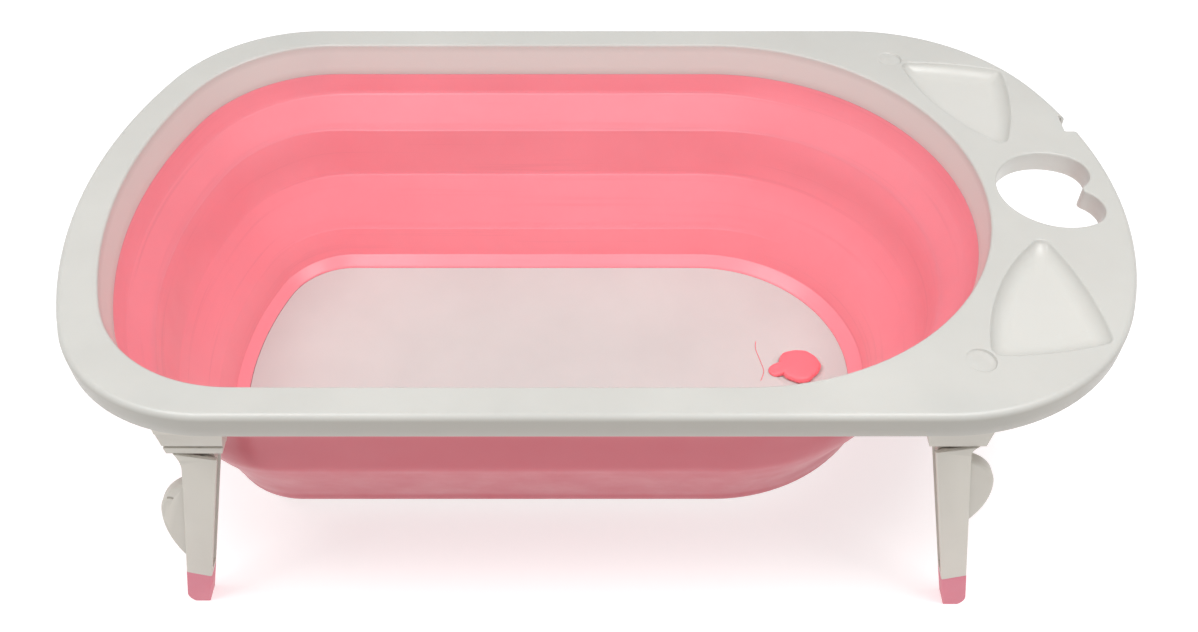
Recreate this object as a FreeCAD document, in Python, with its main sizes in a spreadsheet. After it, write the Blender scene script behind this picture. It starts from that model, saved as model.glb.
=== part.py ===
import FreeCAD, Part
import math
import os
import Sketcher

# Folding baby bathtub: a hard rim on four folding legs, a soft wall that folds in two steps, and a hard
# floor with a drain plug. Frame: origin on the ground at the middle of the tub, +X towards the platform
# with the soap dishes, +Y across, +Z up. Millimetres.

TOUCH = 1e-4  # two places nearer than this are the same place

Vector = FreeCAD.Vector
Placement = FreeCAD.Placement
Rotation = FreeCAD.Rotation

SIZES = [
    # overall
    ("tub_length", 824.0, "rim, end to end"),
    ("tub_width", 467.0, "rim, side to side"),
    ("tub_height", 249.0, "ground to the rim's top face"),
    # rim frame
    ("rim_left_corner", 130.0, "corner radius of the rim's outline at the plain end"),
    ("rim_left_bow", 396.0, "radius of the plain end between its corners"),
    ("rim_right_corner", 165.0, "corner radius of the rim's outline at the platform end"),
    ("rim_right_bow", 329.0, "radius of the platform end between its corners"),
    ("land_side", 27.5, "width of the rim's top along the sides"),
    ("land_left", 29.5, "width of the rim's top at the plain end"),
    ("platform", 106.0, "width of the rim's top at the platform end"),
    ("opening_corner", 120.0, "corner radius of the opening at the plain end"),
    ("opening_bow", 359.0, "radius of the opening's plain end between its corners"),
    ("top_plate", 3.0, "thickness of the rim's top"),
    ("skirt_wall", 2.5, "thickness of the rim's outer skirt"),
    ("skirt_depth", 20.0, "height of the rim's outer skirt"),
    ("edge_round", 5.0, "rounding of the rim's outer top edge"),
    ("collar_depth", 30.0, "depth of the inner collar that the wall hangs from"),
    ("collar_wall", 3.0, "thickness of the inner collar"),
    # soft wall: how far each crease lies below the rim's top and in from the opening
    ("wall_thickness", 3.0, "thickness of the soft wall, level"),
    ("share_left", 0.84, "inset at the plain end as a share of the inset at the sides"),
    ("share_right", 1.08, "inset at the platform end as a share of the inset at the sides"),
    ("share_corner", 0.85, "how much the corner radius shrinks for each millimetre of inset"),
    ("inset_collar", 2.6, "inset of the collar's lower edge"),
    ("depth_fold_one", 49.6, "top of the upper fold"),
    ("inset_fold_one", 4.6, "inset there"),
    ("depth_band_two", 78.0, "top of the middle band"),
    ("inset_band_two", 24.0, "inset there"),
    ("depth_fold_two", 129.0, "top of the lower fold"),
    ("inset_fold_two", 27.0, "inset there"),
    ("depth_band_three", 177.0, "top of the lower band"),
    ("inset_band_three", 53.2, "inset there"),
    ("depth_bead", 207.0, "where the wall turns in to the floor"),
    ("inset_bead", 60.0, "inset there"),
    ("depth_floor", 215.0, "top face of the floor"),
    ("inset_floor", 71.0, "inset of the floor's edge"),
    ("depth_base", 226.0, "underside of the tub"),
    ("inset_base", 63.0, "inset of the wall's inside at the underside"),
    # floor and drain
    ("tray_thickness", 4.0, "thickness of the floor"),
    ("rib_height", 5.0, "height of the ribs under the floor"),
    ("rib_width", 3.0, "thickness of the ribs under the floor"),
    ("rib_spacing", 90.0, "distance between the ribs under the floor"),
    ("rib_end_gap", 10.0, "distance from the end of a rib to the floor's edge"),
    ("drain_inset", 228.0, "drain's middle, in from the platform's end"),
    ("drain_radius", 14.0, "radius of the drain hole"),
    ("drain_boss", 4.0, "thickness of the drain's boss"),
    ("drain_clearance", 0.3, "gap between the plug's stem and the drain hole"),
    ("plug_radius", 21.0, "radius of the plug's head"),
    ("plug_head", 6.0, "height of the plug's head"),
    ("plug_stem", 9.0, "depth of the plug's stem"),
    ("plug_tab_reach", 30.0, "how far the pull tab reaches from the plug's middle"),
    ("plug_tab_half", 7.0, "half the width of the pull tab"),
    ("plug_tab_bow", 7.01, "radius of the pull tab's end"),
    # hanging hole and soap dishes in the platform
    ("heart_inset", 49.2, "middle of the hanging hole's blunt end, in from the platform's end"),
    ("heart_radius", 46.0, "radius of the hanging hole's blunt end"),
    ("heart_cusp", 4.272, "how far the cusp between the two lobes lies past the lobes' middles"),
    ("heart_lobe_shift", 10.5, "how far the lobes' middles lie past the blunt end's middle"),
    ("heart_notch", 5.0, "rounding of the hanging hole between its lobes"),
    ("heart_depth", 18.0, "depth of the wall round the hanging hole"),
    ("pan_wall", 2.5, "wall of the soap dishes and of the hanging hole"),
    ("dish_depth", 9.0, "depth of the soap dishes"),
    ("dish_inner_end", 78.0, "soap dish, corner next to the hanging hole, in from the platform's end"),
    ("dish_inner_side", 165.5, "the same corner, in from the tub's side"),
    ("dish_outer_end", 61.0, "soap dish, corner at the rim's edge, in from the platform's end"),
    ("dish_outer_side", 73.5, "the same corner, in from the tub's side"),
    ("dish_side_end", 133.0, "soap dish, corner next to the side, in from the platform's end"),
    ("dish_side_side", 62.5, "the same corner, in from the tub's side"),
    ("dish_corner", 7.0, "radius of the soap dish's corners"),
    ("dish_bow_in", 190.0, "radius of the soap dish's side next to the opening"),
    ("dish_bow_out", 260.0, "radius of the soap dish's side next to the rim's edge"),
    ("dimple_depth", 2.0, "depth of the finger dimple beside each soap dish"),
    ("dimple_radius", 11.0, "radius of the finger dimple"),
    ("dimple_end", 150.0, "finger dimple, in from the platform's end"),
    ("dimple_side", 50.5, "finger dimple, in from the tub's side"),
    ("notch_low", 75.0, "near side of the notch in the platform's edge, across"),
    ("notch_high", 97.0, "far side of that notch"),
    ("notch_depth", 21.0, "how far the notch lies in from the platform's end"),
    # leg brackets
    ("lane_left", 17.2, "middle plane of the legs at the plain end, in from the tub's side"),
    ("lane_right", 14.0, "middle plane of the legs at the platform end, in from the tub's side"),
    ("head_left", 133.8, "leg's head at the plain end, in from that end of the tub"),
    ("head_right", 168.0, "leg's head at the platform end, in from that end of the tub"),
    ("drop_left", 52.0, "bottom of the brackets at the plain end, below the rim's top"),
    ("drop_right", 40.0, "bottom of the brackets at the platform end, below the rim's top"),
    ("bracket_half", 23.0, "half the length of a bracket"),
    ("bracket_width", 15.0, "width of a bracket across"),
    ("bracket_wall", 2.4, "wall of a bracket"),
    ("bracket_step", 0.8, "how far a bracket's lower half is set back"),
    ("bracket_break", 0.55, "height of a bracket's upper half, as a share of the whole"),
    ("bracket_chamfer", 4.8, "slope of a bracket's inner lower corner"),
    ("bracket_lead", 2.0, "slope of a bracket's outer lower corner"),
    ("flange_reach", 32.0, "half the length of a bracket's screwed flange"),
    ("flange_wall", 3.0, "thickness of the flange"),
    ("flange_depth", 12.0, "top of the flange, below the rim's top"),
    ("screw_place", 28.0, "screw's distance from the bracket's middle"),
    ("screw_radius", 1.5, "radius of a screw's shank"),
    ("screw_length", 9.0, "length of a screw's shank"),
    ("screw_head", 3.4, "radius of a screw's head"),
    ("screw_head_height", 2.2, "height of a screw's head"),
    ("screw_gap", 0.05, "gap round a screw's shank"),
    ("boss_radius", 4.2, "radius of the rim's screw bosses"),
    # legs
    ("splay_left", 13.5, "lean of the legs at the plain end, degrees"),
    ("splay_right", 11.5, "lean of the legs at the platform end, degrees"),
    ("stop_gap", 0.3, "gap between the head's outer corner and the bracket it stops on"),
    ("leg_half", 13.0, "half the width of a leg at its head"),
    ("leg_flare", 4.0, "how far the head's outer corner stands out"),
    ("leg_waist", 11.5, "outer side of a leg, from its middle line"),
    ("leg_toe", 6.5, "inner side of a leg at the ground, from its middle line"),
    ("leg_depth", 15.0, "depth of a leg across"),
    ("leg_wall", 2.4, "wall of a leg"),
    ("leg_rib", 2.0, "thickness of the ribs in a leg"),
    ("lobe_depth", 11.0, "depth of the lobe across"),
    ("lobe_rise", 17.0, "how far the lobe stands out"),
    ("lobe_crown", 0.38, "place of the lobe's crown, as a share of its length"),
    ("lobe_start_left", 38.0, "start of the lobe from the head, plain end"),
    ("lobe_end_left", 138.0, "end of the lobe from the head, plain end"),
    ("lobe_start_right", 18.0, "start of the lobe from the head, platform end"),
    ("lobe_end_right", 94.0, "end of the lobe from the head, platform end"),
    ("foot_height", 43.0, "height of a foot tip along the leg"),
    ("foot_tenon", 24.0, "length of the tenon inside a foot tip"),
    ("foot_wall", 2.6, "wall of a foot tip"),
    ("foot_gap", 0.1, "gap round the tenon"),
    ("heel_rise", 9.84, "height of the rounding at a foot tip's outer side"),
    ("heel_bow", 11.81, "radius of that rounding"),
    ("pin_inset", 6.0, "hinge pin, in from the leg's middle line"),
    ("pin_drop", 7.0, "hinge pin, below the leg's head"),
    ("pin_radius", 2.5, "radius of a hinge pin"),
    ("pin_length", 13.4, "length of a hinge pin"),
    ("pin_gap", 0.05, "running gap round a hinge pin"),
    ("tongue_width", 5.0, "width of a bracket's tongue"),
    ("tongue_radius", 5.5, "radius of the tongue round the pin"),
    ("tongue_gap", 0.3, "gap on each side of the tongue"),
]

doc = FreeCAD.newDocument("BabyBathtub")
sheet = doc.addObject("Spreadsheet::Sheet", "Sizes")
for row, (alias, number, meaning) in enumerate(SIZES, start=1):
    sheet.set(f"A{row}", meaning)
    sheet.set(f"B{row}", str(number))
    sheet.setAlias(f"B{row}", alias)
doc.recompute()


class Size:
    """A length that knows its number and the sheet expression that gives it."""

    def __init__(self, number, text):
        self.number = number
        self.text = text

    def join(self, sign, other, number):
        return Size(number, f"({self.text} {sign} {as_size(other).text})")

    def __add__(self, other):
        return self.join("+", other, self.number + as_size(other).number)

    def __sub__(self, other):
        return self.join("-", other, self.number - as_size(other).number)

    def __mul__(self, other):
        return self.join("*", other, self.number * as_size(other).number)

    def __truediv__(self, other):
        return self.join("/", other, self.number / as_size(other).number)

    def __neg__(self):
        return Size(-self.number, f"(0 - {self.text})")


def as_size(value):
    return value if isinstance(value, Size) else Size(float(value), str(value))


def size(alias):
    return Size(float(sheet.get(alias)), f"Sizes.{alias}")


def from_end(alias):
    """Distance from the tub's middle to something that lies so far in from an end."""
    return size("tub_length") / 2 - size(alias)


def from_side(alias):
    """Distance from the tub's middle plane to something that lies so far in from a side."""
    return size("tub_width") / 2 - size(alias)


def height_at(depth):
    """Height above the ground of a level that lies so far below the rim's top."""
    return size("tub_height") - depth


# ---------------------------------------------------------------- sketches and features

def plane_of(body, role):
    return next(item for item in body.Origin.OriginFeatures if item.Role == role)


def new_body(label):
    body = doc.addObject("PartDesign::Body", label)
    body.Label = label
    return body


def new_sketch(body, name, role="XY_Plane", lift=0.0):
    """A sketch on one of the body's own planes, lifted along that plane's normal."""
    sketch = body.newObject("Sketcher::SketchObject", f"{body.Label}_{name}")
    sketch.AttachmentSupport = [(plane_of(body, role), "")]
    sketch.MapMode = "FlatFace"
    lift = as_size(lift)
    sketch.AttachmentOffset = Placement(Vector(0, 0, lift.number), Rotation())
    sketch.setExpression(".AttachmentOffset.Base.z", lift.text)
    return sketch


def bind(sketch, name, constraint, length):
    """Add a dimension and tie it to the sheet."""
    length = as_size(length)
    index = sketch.addConstraint(Sketcher.Constraint(*constraint, length.number))
    sketch.renameConstraint(index, name)
    sketch.setExpression(f"Constraints.{name}", length.text)


def pin_point(sketch, name, element, point, x, y):
    """Fix one point of the sketch by its two distances from the sketch's origin."""
    for axis, constraint, place in (("x", "DistanceX", as_size(x)), ("y", "DistanceY", as_size(y))):
        bind(sketch, f"{name}_{axis}", (constraint, -1, 1, element, point), place)


def circle(sketch, name, x, y, radius):
    x, y, radius = as_size(x), as_size(y), as_size(radius)
    centre = Vector(x.number, y.number, 0)
    index = sketch.addGeometry(Part.Circle(centre, Vector(0, 0, 1), radius.number), False)
    pin_point(sketch, name, index, 3, x, y)
    bind(sketch, f"{name}_r", ("Radius", index), radius)


def polygon(sketch, name, points):
    """Straight sides through the points, each point tied to the sheet."""
    points = [(as_size(x), as_size(y)) for x, y in points]
    corners = [Vector(x.number, y.number, 0) for x, y in points]
    first = sketch.GeometryCount
    for start, end in zip(corners, corners[1:] + corners[:1]):
        sketch.addGeometry(Part.LineSegment(start, end), False)
    for i in range(len(points)):
        after = first + (i + 1) % len(points)
        sketch.addConstraint(Sketcher.Constraint("Coincident", first + i, 2, after, 1))
    for i, (x, y) in enumerate(points):
        pin_point(sketch, f"{name}{i}", first + i, 1, x, y)


def bowed_polygon(sketch, name, points, bows):
    """Sides through the points, some of them arcs: bows gives side number -> signed radius.

    A positive radius bulges to the right of the walk from point to point."""
    points = [(as_size(x), as_size(y)) for x, y in points]
    corners = [Vector(x.number, y.number, 0) for x, y in points]
    first = sketch.GeometryCount
    ends = []
    for i, (start, end) in enumerate(zip(corners, corners[1:] + corners[:1])):
        if i not in bows:
            sketch.addGeometry(Part.LineSegment(start, end), False)
            ends.append((1, 2))
            continue
        radius = as_size(bows[i])
        chord = end - start
        reach = math.sqrt(radius.number ** 2 - chord.Length ** 2 / 4)
        left = Vector(-chord.y, chord.x, 0).normalize()
        side = 1 if radius.number > 0 else -1
        centre = (start + end) / 2 + left * reach * side
        from_angle = math.atan2(start.y - centre.y, start.x - centre.x)
        to_angle = math.atan2(end.y - centre.y, end.x - centre.x)
        if side < 0:
            from_angle, to_angle = to_angle, from_angle
        whole = Part.Circle(centre, Vector(0, 0, 1), abs(radius.number))
        sketch.addGeometry(Part.ArcOfCircle(whole, from_angle, to_angle), False)
        ends.append((1, 2) if side > 0 else (2, 1))
    count = len(points)
    for i in range(count):
        after = (i + 1) % count
        joint = ("Coincident", first + i, ends[i][1], first + after, ends[after][0])
        sketch.addConstraint(Sketcher.Constraint(*joint))
    for i, (x, y) in enumerate(points):
        pin_point(sketch, f"{name}{i}", first + i, ends[i][0], x, y)
    for i, radius in bows.items():
        radius = as_size(radius)
        bind(sketch, f"{name}_bow{i}", ("Radius", first + i), radius if radius.number > 0 else -radius)


def pad(body, sketch, length, midplane=False, reverse=False):
    feature = body.newObject("PartDesign::Pad", sketch.Name + "_pad")
    feature.Profile = sketch
    feature.Midplane = midplane
    feature.Reversed = reverse
    feature.setExpression("Length", as_size(length).text)
    return settle(body, feature, grows=True)


def pocket(body, sketch, length, midplane=False, reverse=False):
    """Cut the sketch's area: below its plane as it stands, above it when reversed."""
    feature = body.newObject("PartDesign::Pocket", sketch.Name + "_pocket")
    feature.Profile = sketch
    feature.Midplane = midplane
    feature.Reversed = reverse
    feature.setExpression("Length", as_size(length).text)
    return settle(body, feature, grows=False)


def loft(body, lower, upper, cut=False):
    kind = "PartDesign::SubtractiveLoft" if cut else "PartDesign::AdditiveLoft"
    feature = body.newObject(kind, lower.Name + "_loft")
    feature.Profile = lower
    feature.Sections = [upper]
    feature.Ruled = True
    return settle(body, feature, grows=not cut)


def settle(body, feature, grows):
    """Recompute, and make sure that the feature added or removed material."""
    before = feature.BaseFeature.Shape.Volume if feature.BaseFeature else 0.0
    doc.recompute()
    if feature.Shape.isNull():
        raise RuntimeError(f"{feature.Name} made no shape: {feature.getStatusString()}")
    change = feature.Shape.Volume - before
    if (change > 0) != grows or abs(change) < TOUCH:
        raise RuntimeError(f"{feature.Name} changed the volume by {change:.3f}")
    return feature


def round_edges(body, feature, radius, chosen):
    """Fillet the edges of the last feature for which chosen(edge) is true."""
    names = [f"Edge{i}" for i, edge in enumerate(feature.Shape.Edges, start=1) if chosen(edge)]
    if not names:
        raise RuntimeError(f"no edges to round on {feature.Name}")
    fillet = body.newObject("PartDesign::Fillet", feature.Name + "_round")
    fillet.Base = (feature, names)
    fillet.setExpression("Radius", as_size(radius).text)
    doc.recompute()
    if fillet.Shape.isNull():
        raise RuntimeError(f"{fillet.Name} made no shape: {fillet.getStatusString()}")
    return fillet


def level_edges(z):
    """Test for the edges that lie in the level plane at height z."""
    return lambda edge: edge.BoundBox.ZLength < TOUCH and abs(edge.BoundBox.ZMax - z) < TOUCH


# ---------------------------------------------------------------- plan outlines of the tub

def rounded_end(end_x, half, corner, bow, side):
    """Centres and angles of a bowed end: side is -1 for the plain end and +1 for the platform end."""
    bow_x = end_x - side * bow
    step = math.sqrt((bow - corner) ** 2 - (half - corner) ** 2)
    corner_x = bow_x + side * step
    turn = math.atan2(half - corner, step)
    return bow_x, corner_x, turn


def plan_outline(sketch, half, left_x, right_x, left_corner, left_bow, right_corner=None, right_bow=None):
    """Outline of the tub in plan: straight sides, a bowed plain end, and a platform end that is bowed too
    or, without right_corner, a half circle."""
    up = Vector(0, 0, 1)
    h = half.number
    lb_x, lc_x, lturn = rounded_end(left_x.number, h, left_corner.number, left_bow.number, -1)
    lc_y = h - left_corner.number
    if right_corner is None:
        rc_x = right_x.number - h
    else:
        rb_x, rc_x, rturn = rounded_end(right_x.number, h, right_corner.number, right_bow.number, 1)
        rc_y = h - right_corner.number

    def arc(x, y, radius, start, end):
        whole = Part.Circle(Vector(x, y, 0), up, radius)
        return sketch.addGeometry(Part.ArcOfCircle(whole, start, end), False)

    def line(x1, x2, y):
        return sketch.addGeometry(Part.LineSegment(Vector(x1, y, 0), Vector(x2, y, 0)), False)

    half_turn, quarter = math.pi, math.pi / 2
    top = line(rc_x, lc_x, h)
    upper_corner = arc(lc_x, lc_y, left_corner.number, quarter, half_turn - lturn)
    end_bow = arc(lb_x, 0, left_bow.number, half_turn - lturn, half_turn + lturn)
    lower_corner = arc(lc_x, -lc_y, left_corner.number, half_turn + lturn, 3 * quarter)
    bottom = line(lc_x, rc_x, -h)
    chain = [top, upper_corner, end_bow, lower_corner, bottom]
    if right_corner is None:
        far_end = arc(rc_x, 0, h, -quarter, quarter)
        chain.append(far_end)
    else:
        lower_right = arc(rc_x, -rc_y, right_corner.number, -quarter, -rturn)
        far_end = arc(rb_x, 0, right_bow.number, -rturn, rturn)
        upper_right = arc(rc_x, rc_y, right_corner.number, rturn, quarter)
        chain += [lower_right, far_end, upper_right]
    for first, second in zip(chain, chain[1:] + chain[:1]):
        sketch.addConstraint(Sketcher.Constraint("Tangent", first, 2, second, 1))
    sketch.addConstraint(Sketcher.Constraint("Horizontal", top))
    sketch.addConstraint(Sketcher.Constraint("Horizontal", bottom))
    sketch.addConstraint(Sketcher.Constraint("PointOnObject", end_bow, 3, -1))
    sketch.addConstraint(Sketcher.Constraint("PointOnObject", far_end, 3, -1))
    bind(sketch, "half_width", ("DistanceY", -1, 1, top, 1), half)
    bind(sketch, "left_corner", ("Radius", upper_corner), left_corner)
    bind(sketch, "left_bow", ("Radius", end_bow), left_bow)
    bind(sketch, "left_centre", ("DistanceX", -1, 1, end_bow, 3), left_x + left_bow)
    sketch.addConstraint(Sketcher.Constraint("Equal", upper_corner, lower_corner))
    if right_corner is None:
        bind(sketch, "right_centre", ("DistanceX", -1, 1, far_end, 3), right_x - half)
    else:
        bind(sketch, "lower_half", ("DistanceY", -1, 1, bottom, 1), -half)
        bind(sketch, "right_corner", ("Radius", upper_right), right_corner)
        sketch.addConstraint(Sketcher.Constraint("Equal", upper_right, lower_right))
        bind(sketch, "right_bow", ("Radius", far_end), right_bow)
        bind(sketch, "right_centre", ("DistanceX", -1, 1, far_end, 3), right_x - right_bow)


def rim_outline(sketch, inset=0.0):
    """The rim's outer outline, moved in all round."""
    half_length = size("tub_length") / 2 - inset
    plan_outline(sketch, size("tub_width") / 2 - inset, -half_length, half_length,
                 size("rim_left_corner") - inset, size("rim_left_bow") - inset,
                 size("rim_right_corner") - inset, size("rim_right_bow") - inset)


def well_outline(sketch, inset, thickness=0.0):
    """The tub's inside at a level with this inset, moved out by a wall's thickness."""
    inset, thickness = as_size(inset), as_size(thickness)
    half_length = size("tub_length") / 2
    half = size("tub_width") / 2 - size("land_side") - inset + thickness
    left = size("land_left") - half_length + inset * size("share_left") - thickness
    right = half_length - size("platform") - inset * size("share_right") + thickness
    corner = size("opening_corner") - inset * size("share_corner") + thickness
    bow = size("opening_bow") - inset + thickness
    plan_outline(sketch, half, left, right, corner, bow)


def well_loft(body, name, low, high, thickness=0.0, cut=False):
    """Loft between two levels of the tub's inside, each given as (depth below the rim, inset)."""
    sections = []
    for end, (depth, inset) in (("low", low), ("high", high)):
        sketch = new_sketch(body, f"{name}_{end}", lift=height_at(depth))
        well_outline(sketch, inset, thickness)
        sections.append(sketch)
    return loft(body, *sections, cut=cut)


LEVELS = {name: (size(f"depth_{name}"), size(f"inset_{name}"))
          for name in ("fold_one", "band_two", "fold_two", "band_three", "bead", "floor", "base")}
LEVELS["collar"] = (size("collar_depth"), size("inset_collar"))


# ---------------------------------------------------------------- rim frame

def heart_lobe():
    """Radius of the hanging hole's lobes: they touch the blunt end's circle inside and cross at the cusp."""
    tip, shift, cusp = size("heart_radius"), size("heart_lobe_shift"), size("heart_cusp")
    return (tip * tip + cusp * cusp - shift * shift) / (tip * 2)


def heart_outline(sketch, grow=0.0):
    """Hanging hole: a blunt round end towards the tub and two lobes towards the platform's edge."""
    tip = size("heart_radius") + grow
    lobe = heart_lobe() + grow
    place = from_end("heart_inset")
    shift = size("heart_lobe_shift")
    lobe_x = place.number + shift.number
    spread = math.sqrt((tip.number - lobe.number) ** 2 - shift.number ** 2)
    turn = math.atan2(spread, shift.number)
    meet = math.atan2(spread, -math.sqrt(lobe.number ** 2 - spread ** 2))
    up = Vector(0, 0, 1)
    blunt = sketch.addGeometry(Part.ArcOfCircle(
        Part.Circle(Vector(place.number, 0, 0), up, tip.number), turn, 2 * math.pi - turn), False)
    lower = sketch.addGeometry(Part.ArcOfCircle(
        Part.Circle(Vector(lobe_x, -spread, 0), up, lobe.number), -turn, math.pi - meet), False)
    upper = sketch.addGeometry(Part.ArcOfCircle(
        Part.Circle(Vector(lobe_x, spread, 0), up, lobe.number), meet - math.pi, turn), False)
    sketch.addConstraint(Sketcher.Constraint("Tangent", blunt, 2, lower, 1))
    sketch.addConstraint(Sketcher.Constraint("Tangent", upper, 2, blunt, 1))
    sketch.addConstraint(Sketcher.Constraint("Coincident", lower, 2, upper, 1))
    pin_point(sketch, "blunt", blunt, 3, place, 0)
    bind(sketch, "blunt_r", ("Radius", blunt), tip)
    bind(sketch, "upper_r", ("Radius", upper), lobe)
    bind(sketch, "lower_r", ("Radius", lower), lobe)
    bind(sketch, "upper_x", ("DistanceX", -1, 1, upper, 3), place + shift)
    bind(sketch, "lower_x", ("DistanceX", -1, 1, lower, 3), place + shift)


def dish_outline(sketch, side, grow=0.0):
    """Soap dish: a curved three-cornered pan. side is +1 or -1 across the tub."""
    spots = [(from_end(f"dish_{spot}_end"), from_side(f"dish_{spot}_side") * side)
             for spot in ("inner", "outer", "side")]
    bows = [size("dish_bow_out") + grow, size("dish_bow_out") + grow, size("dish_bow_in") + grow]
    corner = size("dish_corner") + grow
    if side > 0:
        order = [0, 1, 2]
        around = [bows[0], bows[1], bows[2]]
    else:
        order = [0, 2, 1]
        around = [bows[2], bows[1], bows[0]]
    centres = [Vector(spots[i][0].number, spots[i][1].number, 0) for i in order]
    arcs = []
    for i, bow in enumerate(around):
        start, end = centres[i], centres[(i + 1) % 3]
        chord = end - start
        radius = bow.number - corner.number
        reach = math.sqrt(radius ** 2 - chord.Length ** 2 / 4)
        left = Vector(-chord.y, chord.x, 0).normalize()
        middle = (start + end) / 2 + left * reach
        arcs.append((middle, bow, math.atan2(start.y - middle.y, start.x - middle.x),
                     math.atan2(end.y - middle.y, end.x - middle.x)))
    up = Vector(0, 0, 1)
    sides, rounds = [], []
    for i in range(3):
        middle, bow, start, end = arcs[i]
        sides.append(sketch.addGeometry(Part.ArcOfCircle(
            Part.Circle(middle, up, bow.number), start, end), False))
        following = arcs[(i + 1) % 3][2]
        rounds.append(sketch.addGeometry(Part.ArcOfCircle(
            Part.Circle(centres[(i + 1) % 3], up, corner.number), end, following), False))
    for i in range(3):
        sketch.addConstraint(Sketcher.Constraint("Tangent", sides[i], 2, rounds[i], 1))
        sketch.addConstraint(Sketcher.Constraint("Tangent", rounds[i], 2, sides[(i + 1) % 3], 1))
        spot = spots[order[(i + 1) % 3]]
        pin_point(sketch, f"corner{i}", rounds[i], 3, spot[0], spot[1])
        bind(sketch, f"side_r{i}", ("Radius", sides[i]), around[i])
        bind(sketch, f"corner_r{i}", ("Radius", rounds[i]), corner)


def bracket_places():
    """Name, way out along X, middle plane, head's distance and bracket's drop of each leg, and its end."""
    for end, out in (("left", -1), ("right", 1)):
        for row, way in (("front", -1), ("back", 1)):
            lane = from_side(f"lane_{end}") * way
            yield f"{row}_{end}", out, lane, from_end(f"head_{end}"), size(f"drop_{end}"), end


def rim_frame():
    body = new_body("rim_frame")
    skirt_foot = height_at(size("skirt_depth"))
    under_plate = height_at(size("top_plate"))

    block = new_sketch(body, "block", lift=skirt_foot)
    rim_outline(block)
    blank = pad(body, block, size("skirt_depth"))
    round_edges(body, blank, size("edge_round"), level_edges(size("tub_height").number))

    hollow = new_sketch(body, "hollow", lift=skirt_foot)
    rim_outline(hollow, size("skirt_wall"))
    pocket(body, hollow, size("skirt_depth") - size("top_plate"), reverse=True)

    top_level = (as_size(0), as_size(0))
    under_top = (size("top_plate") / 2, as_size(0))
    well_loft(body, "collar", LEVELS["collar"], under_top, size("collar_wall"))

    for side, name in ((-1, "front"), (1, "back")):
        pan = new_sketch(body, f"pan_{name}", lift=under_plate)
        dish_outline(pan, side, size("pan_wall"))
        pad(body, pan, size("dish_depth") + size("pan_wall") - size("top_plate"), reverse=True)
    collar = new_sketch(body, "heart_wall", lift=under_plate)
    heart_outline(collar, size("pan_wall"))
    pad(body, collar, size("heart_depth") - size("top_plate"), reverse=True)

    bosses = new_sketch(body, "bosses", lift=under_plate)
    pilots = new_sketch(body, "pilots", lift=height_at(size("flange_depth")))
    for name, out, lane, head, _, _ in bracket_places():
        for way in (-1, 1):
            x = head * out + size("screw_place") * way
            tag = f"{name}_{'in' if way < 0 else 'out'}"
            circle(bosses, tag, x, lane, size("boss_radius"))
            circle(pilots, tag, x, lane, size("screw_radius") + size("screw_gap"))
    pad(body, bosses, size("flange_depth") - size("top_plate"), reverse=True)
    pocket(body, pilots, size("screw_length") - size("flange_wall"), reverse=True)

    well_loft(body, "opening", LEVELS["collar"], top_level, cut=True)
    for side, name in ((-1, "front"), (1, "back")):
        dish = new_sketch(body, f"dish_{name}", lift=size("tub_height"))
        dish_outline(dish, side)
        pocket(body, dish, size("dish_depth"))
        dimple = new_sketch(body, f"dimple_{name}", lift=size("tub_height"))
        circle(dimple, "dimple", from_end("dimple_end"), from_side("dimple_side") * side,
               size("dimple_radius"))
        pocket(body, dimple, size("dimple_depth"))
    heart = new_sketch(body, "heart", lift=size("tub_height"))
    heart_outline(heart)
    hole = pocket(body, heart, size("heart_depth"))
    cusp_x = (from_end("heart_inset") + size("heart_lobe_shift") + size("heart_cusp")).number
    round_edges(body, hole, size("heart_notch"), lambda edge: (
        edge.BoundBox.ZLength > size("heart_depth").number / 2 and edge.BoundBox.XLength < TOUCH
        and abs(edge.BoundBox.YMin) < TOUCH
        and abs(edge.BoundBox.XMin - cusp_x) < size("pan_wall").number / 2
        and edge.BoundBox.ZMax > size("tub_height").number - TOUCH))

    notch_x = size("tub_length") / 2 - size("notch_depth")
    low, high = size("notch_low"), size("notch_high")
    back = new_sketch(body, "notch_back", lift=skirt_foot)
    polygon(back, "p", [(notch_x - size("skirt_wall"), low), (notch_x, low),
                        (notch_x, high), (notch_x - size("skirt_wall"), high)])
    pad(body, back, size("skirt_depth") - size("top_plate") / 2)
    notch = new_sketch(body, "notch", lift=size("tub_height"))
    past = size("tub_length") / 2
    polygon(notch, "p", [(notch_x, low), (past, low), (past, high), (notch_x, high)])
    pocket(body, notch, size("skirt_depth"))
    return body


# ---------------------------------------------------------------- soft wall

def wall_ring(label, top, bottom):
    """One zone of the soft wall: a ring between two levels, open above and below."""
    body = new_body(label)
    well_loft(body, "outside", LEVELS[bottom], LEVELS[top], size("wall_thickness"))
    well_loft(body, "inside", LEVELS[bottom], LEVELS[top], cut=True)
    return body


def lower_band():
    """The lowest zone, with the bead that turns in to the floor and the ring that the tub sits on."""
    body = new_body("wall_lower_band")
    well_loft(body, "outside", LEVELS["base"], LEVELS["band_three"], size("wall_thickness"))
    well_loft(body, "inside", LEVELS["bead"], LEVELS["band_three"], cut=True)
    well_loft(body, "turn", LEVELS["floor"], LEVELS["bead"], cut=True)
    seat = new_sketch(body, "seat", lift=height_at(size("depth_floor")))
    well_outline(seat, size("inset_floor"))
    pocket(body, seat, size("depth_base") - size("depth_floor"))
    return body


# ---------------------------------------------------------------- floor and drain

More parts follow.
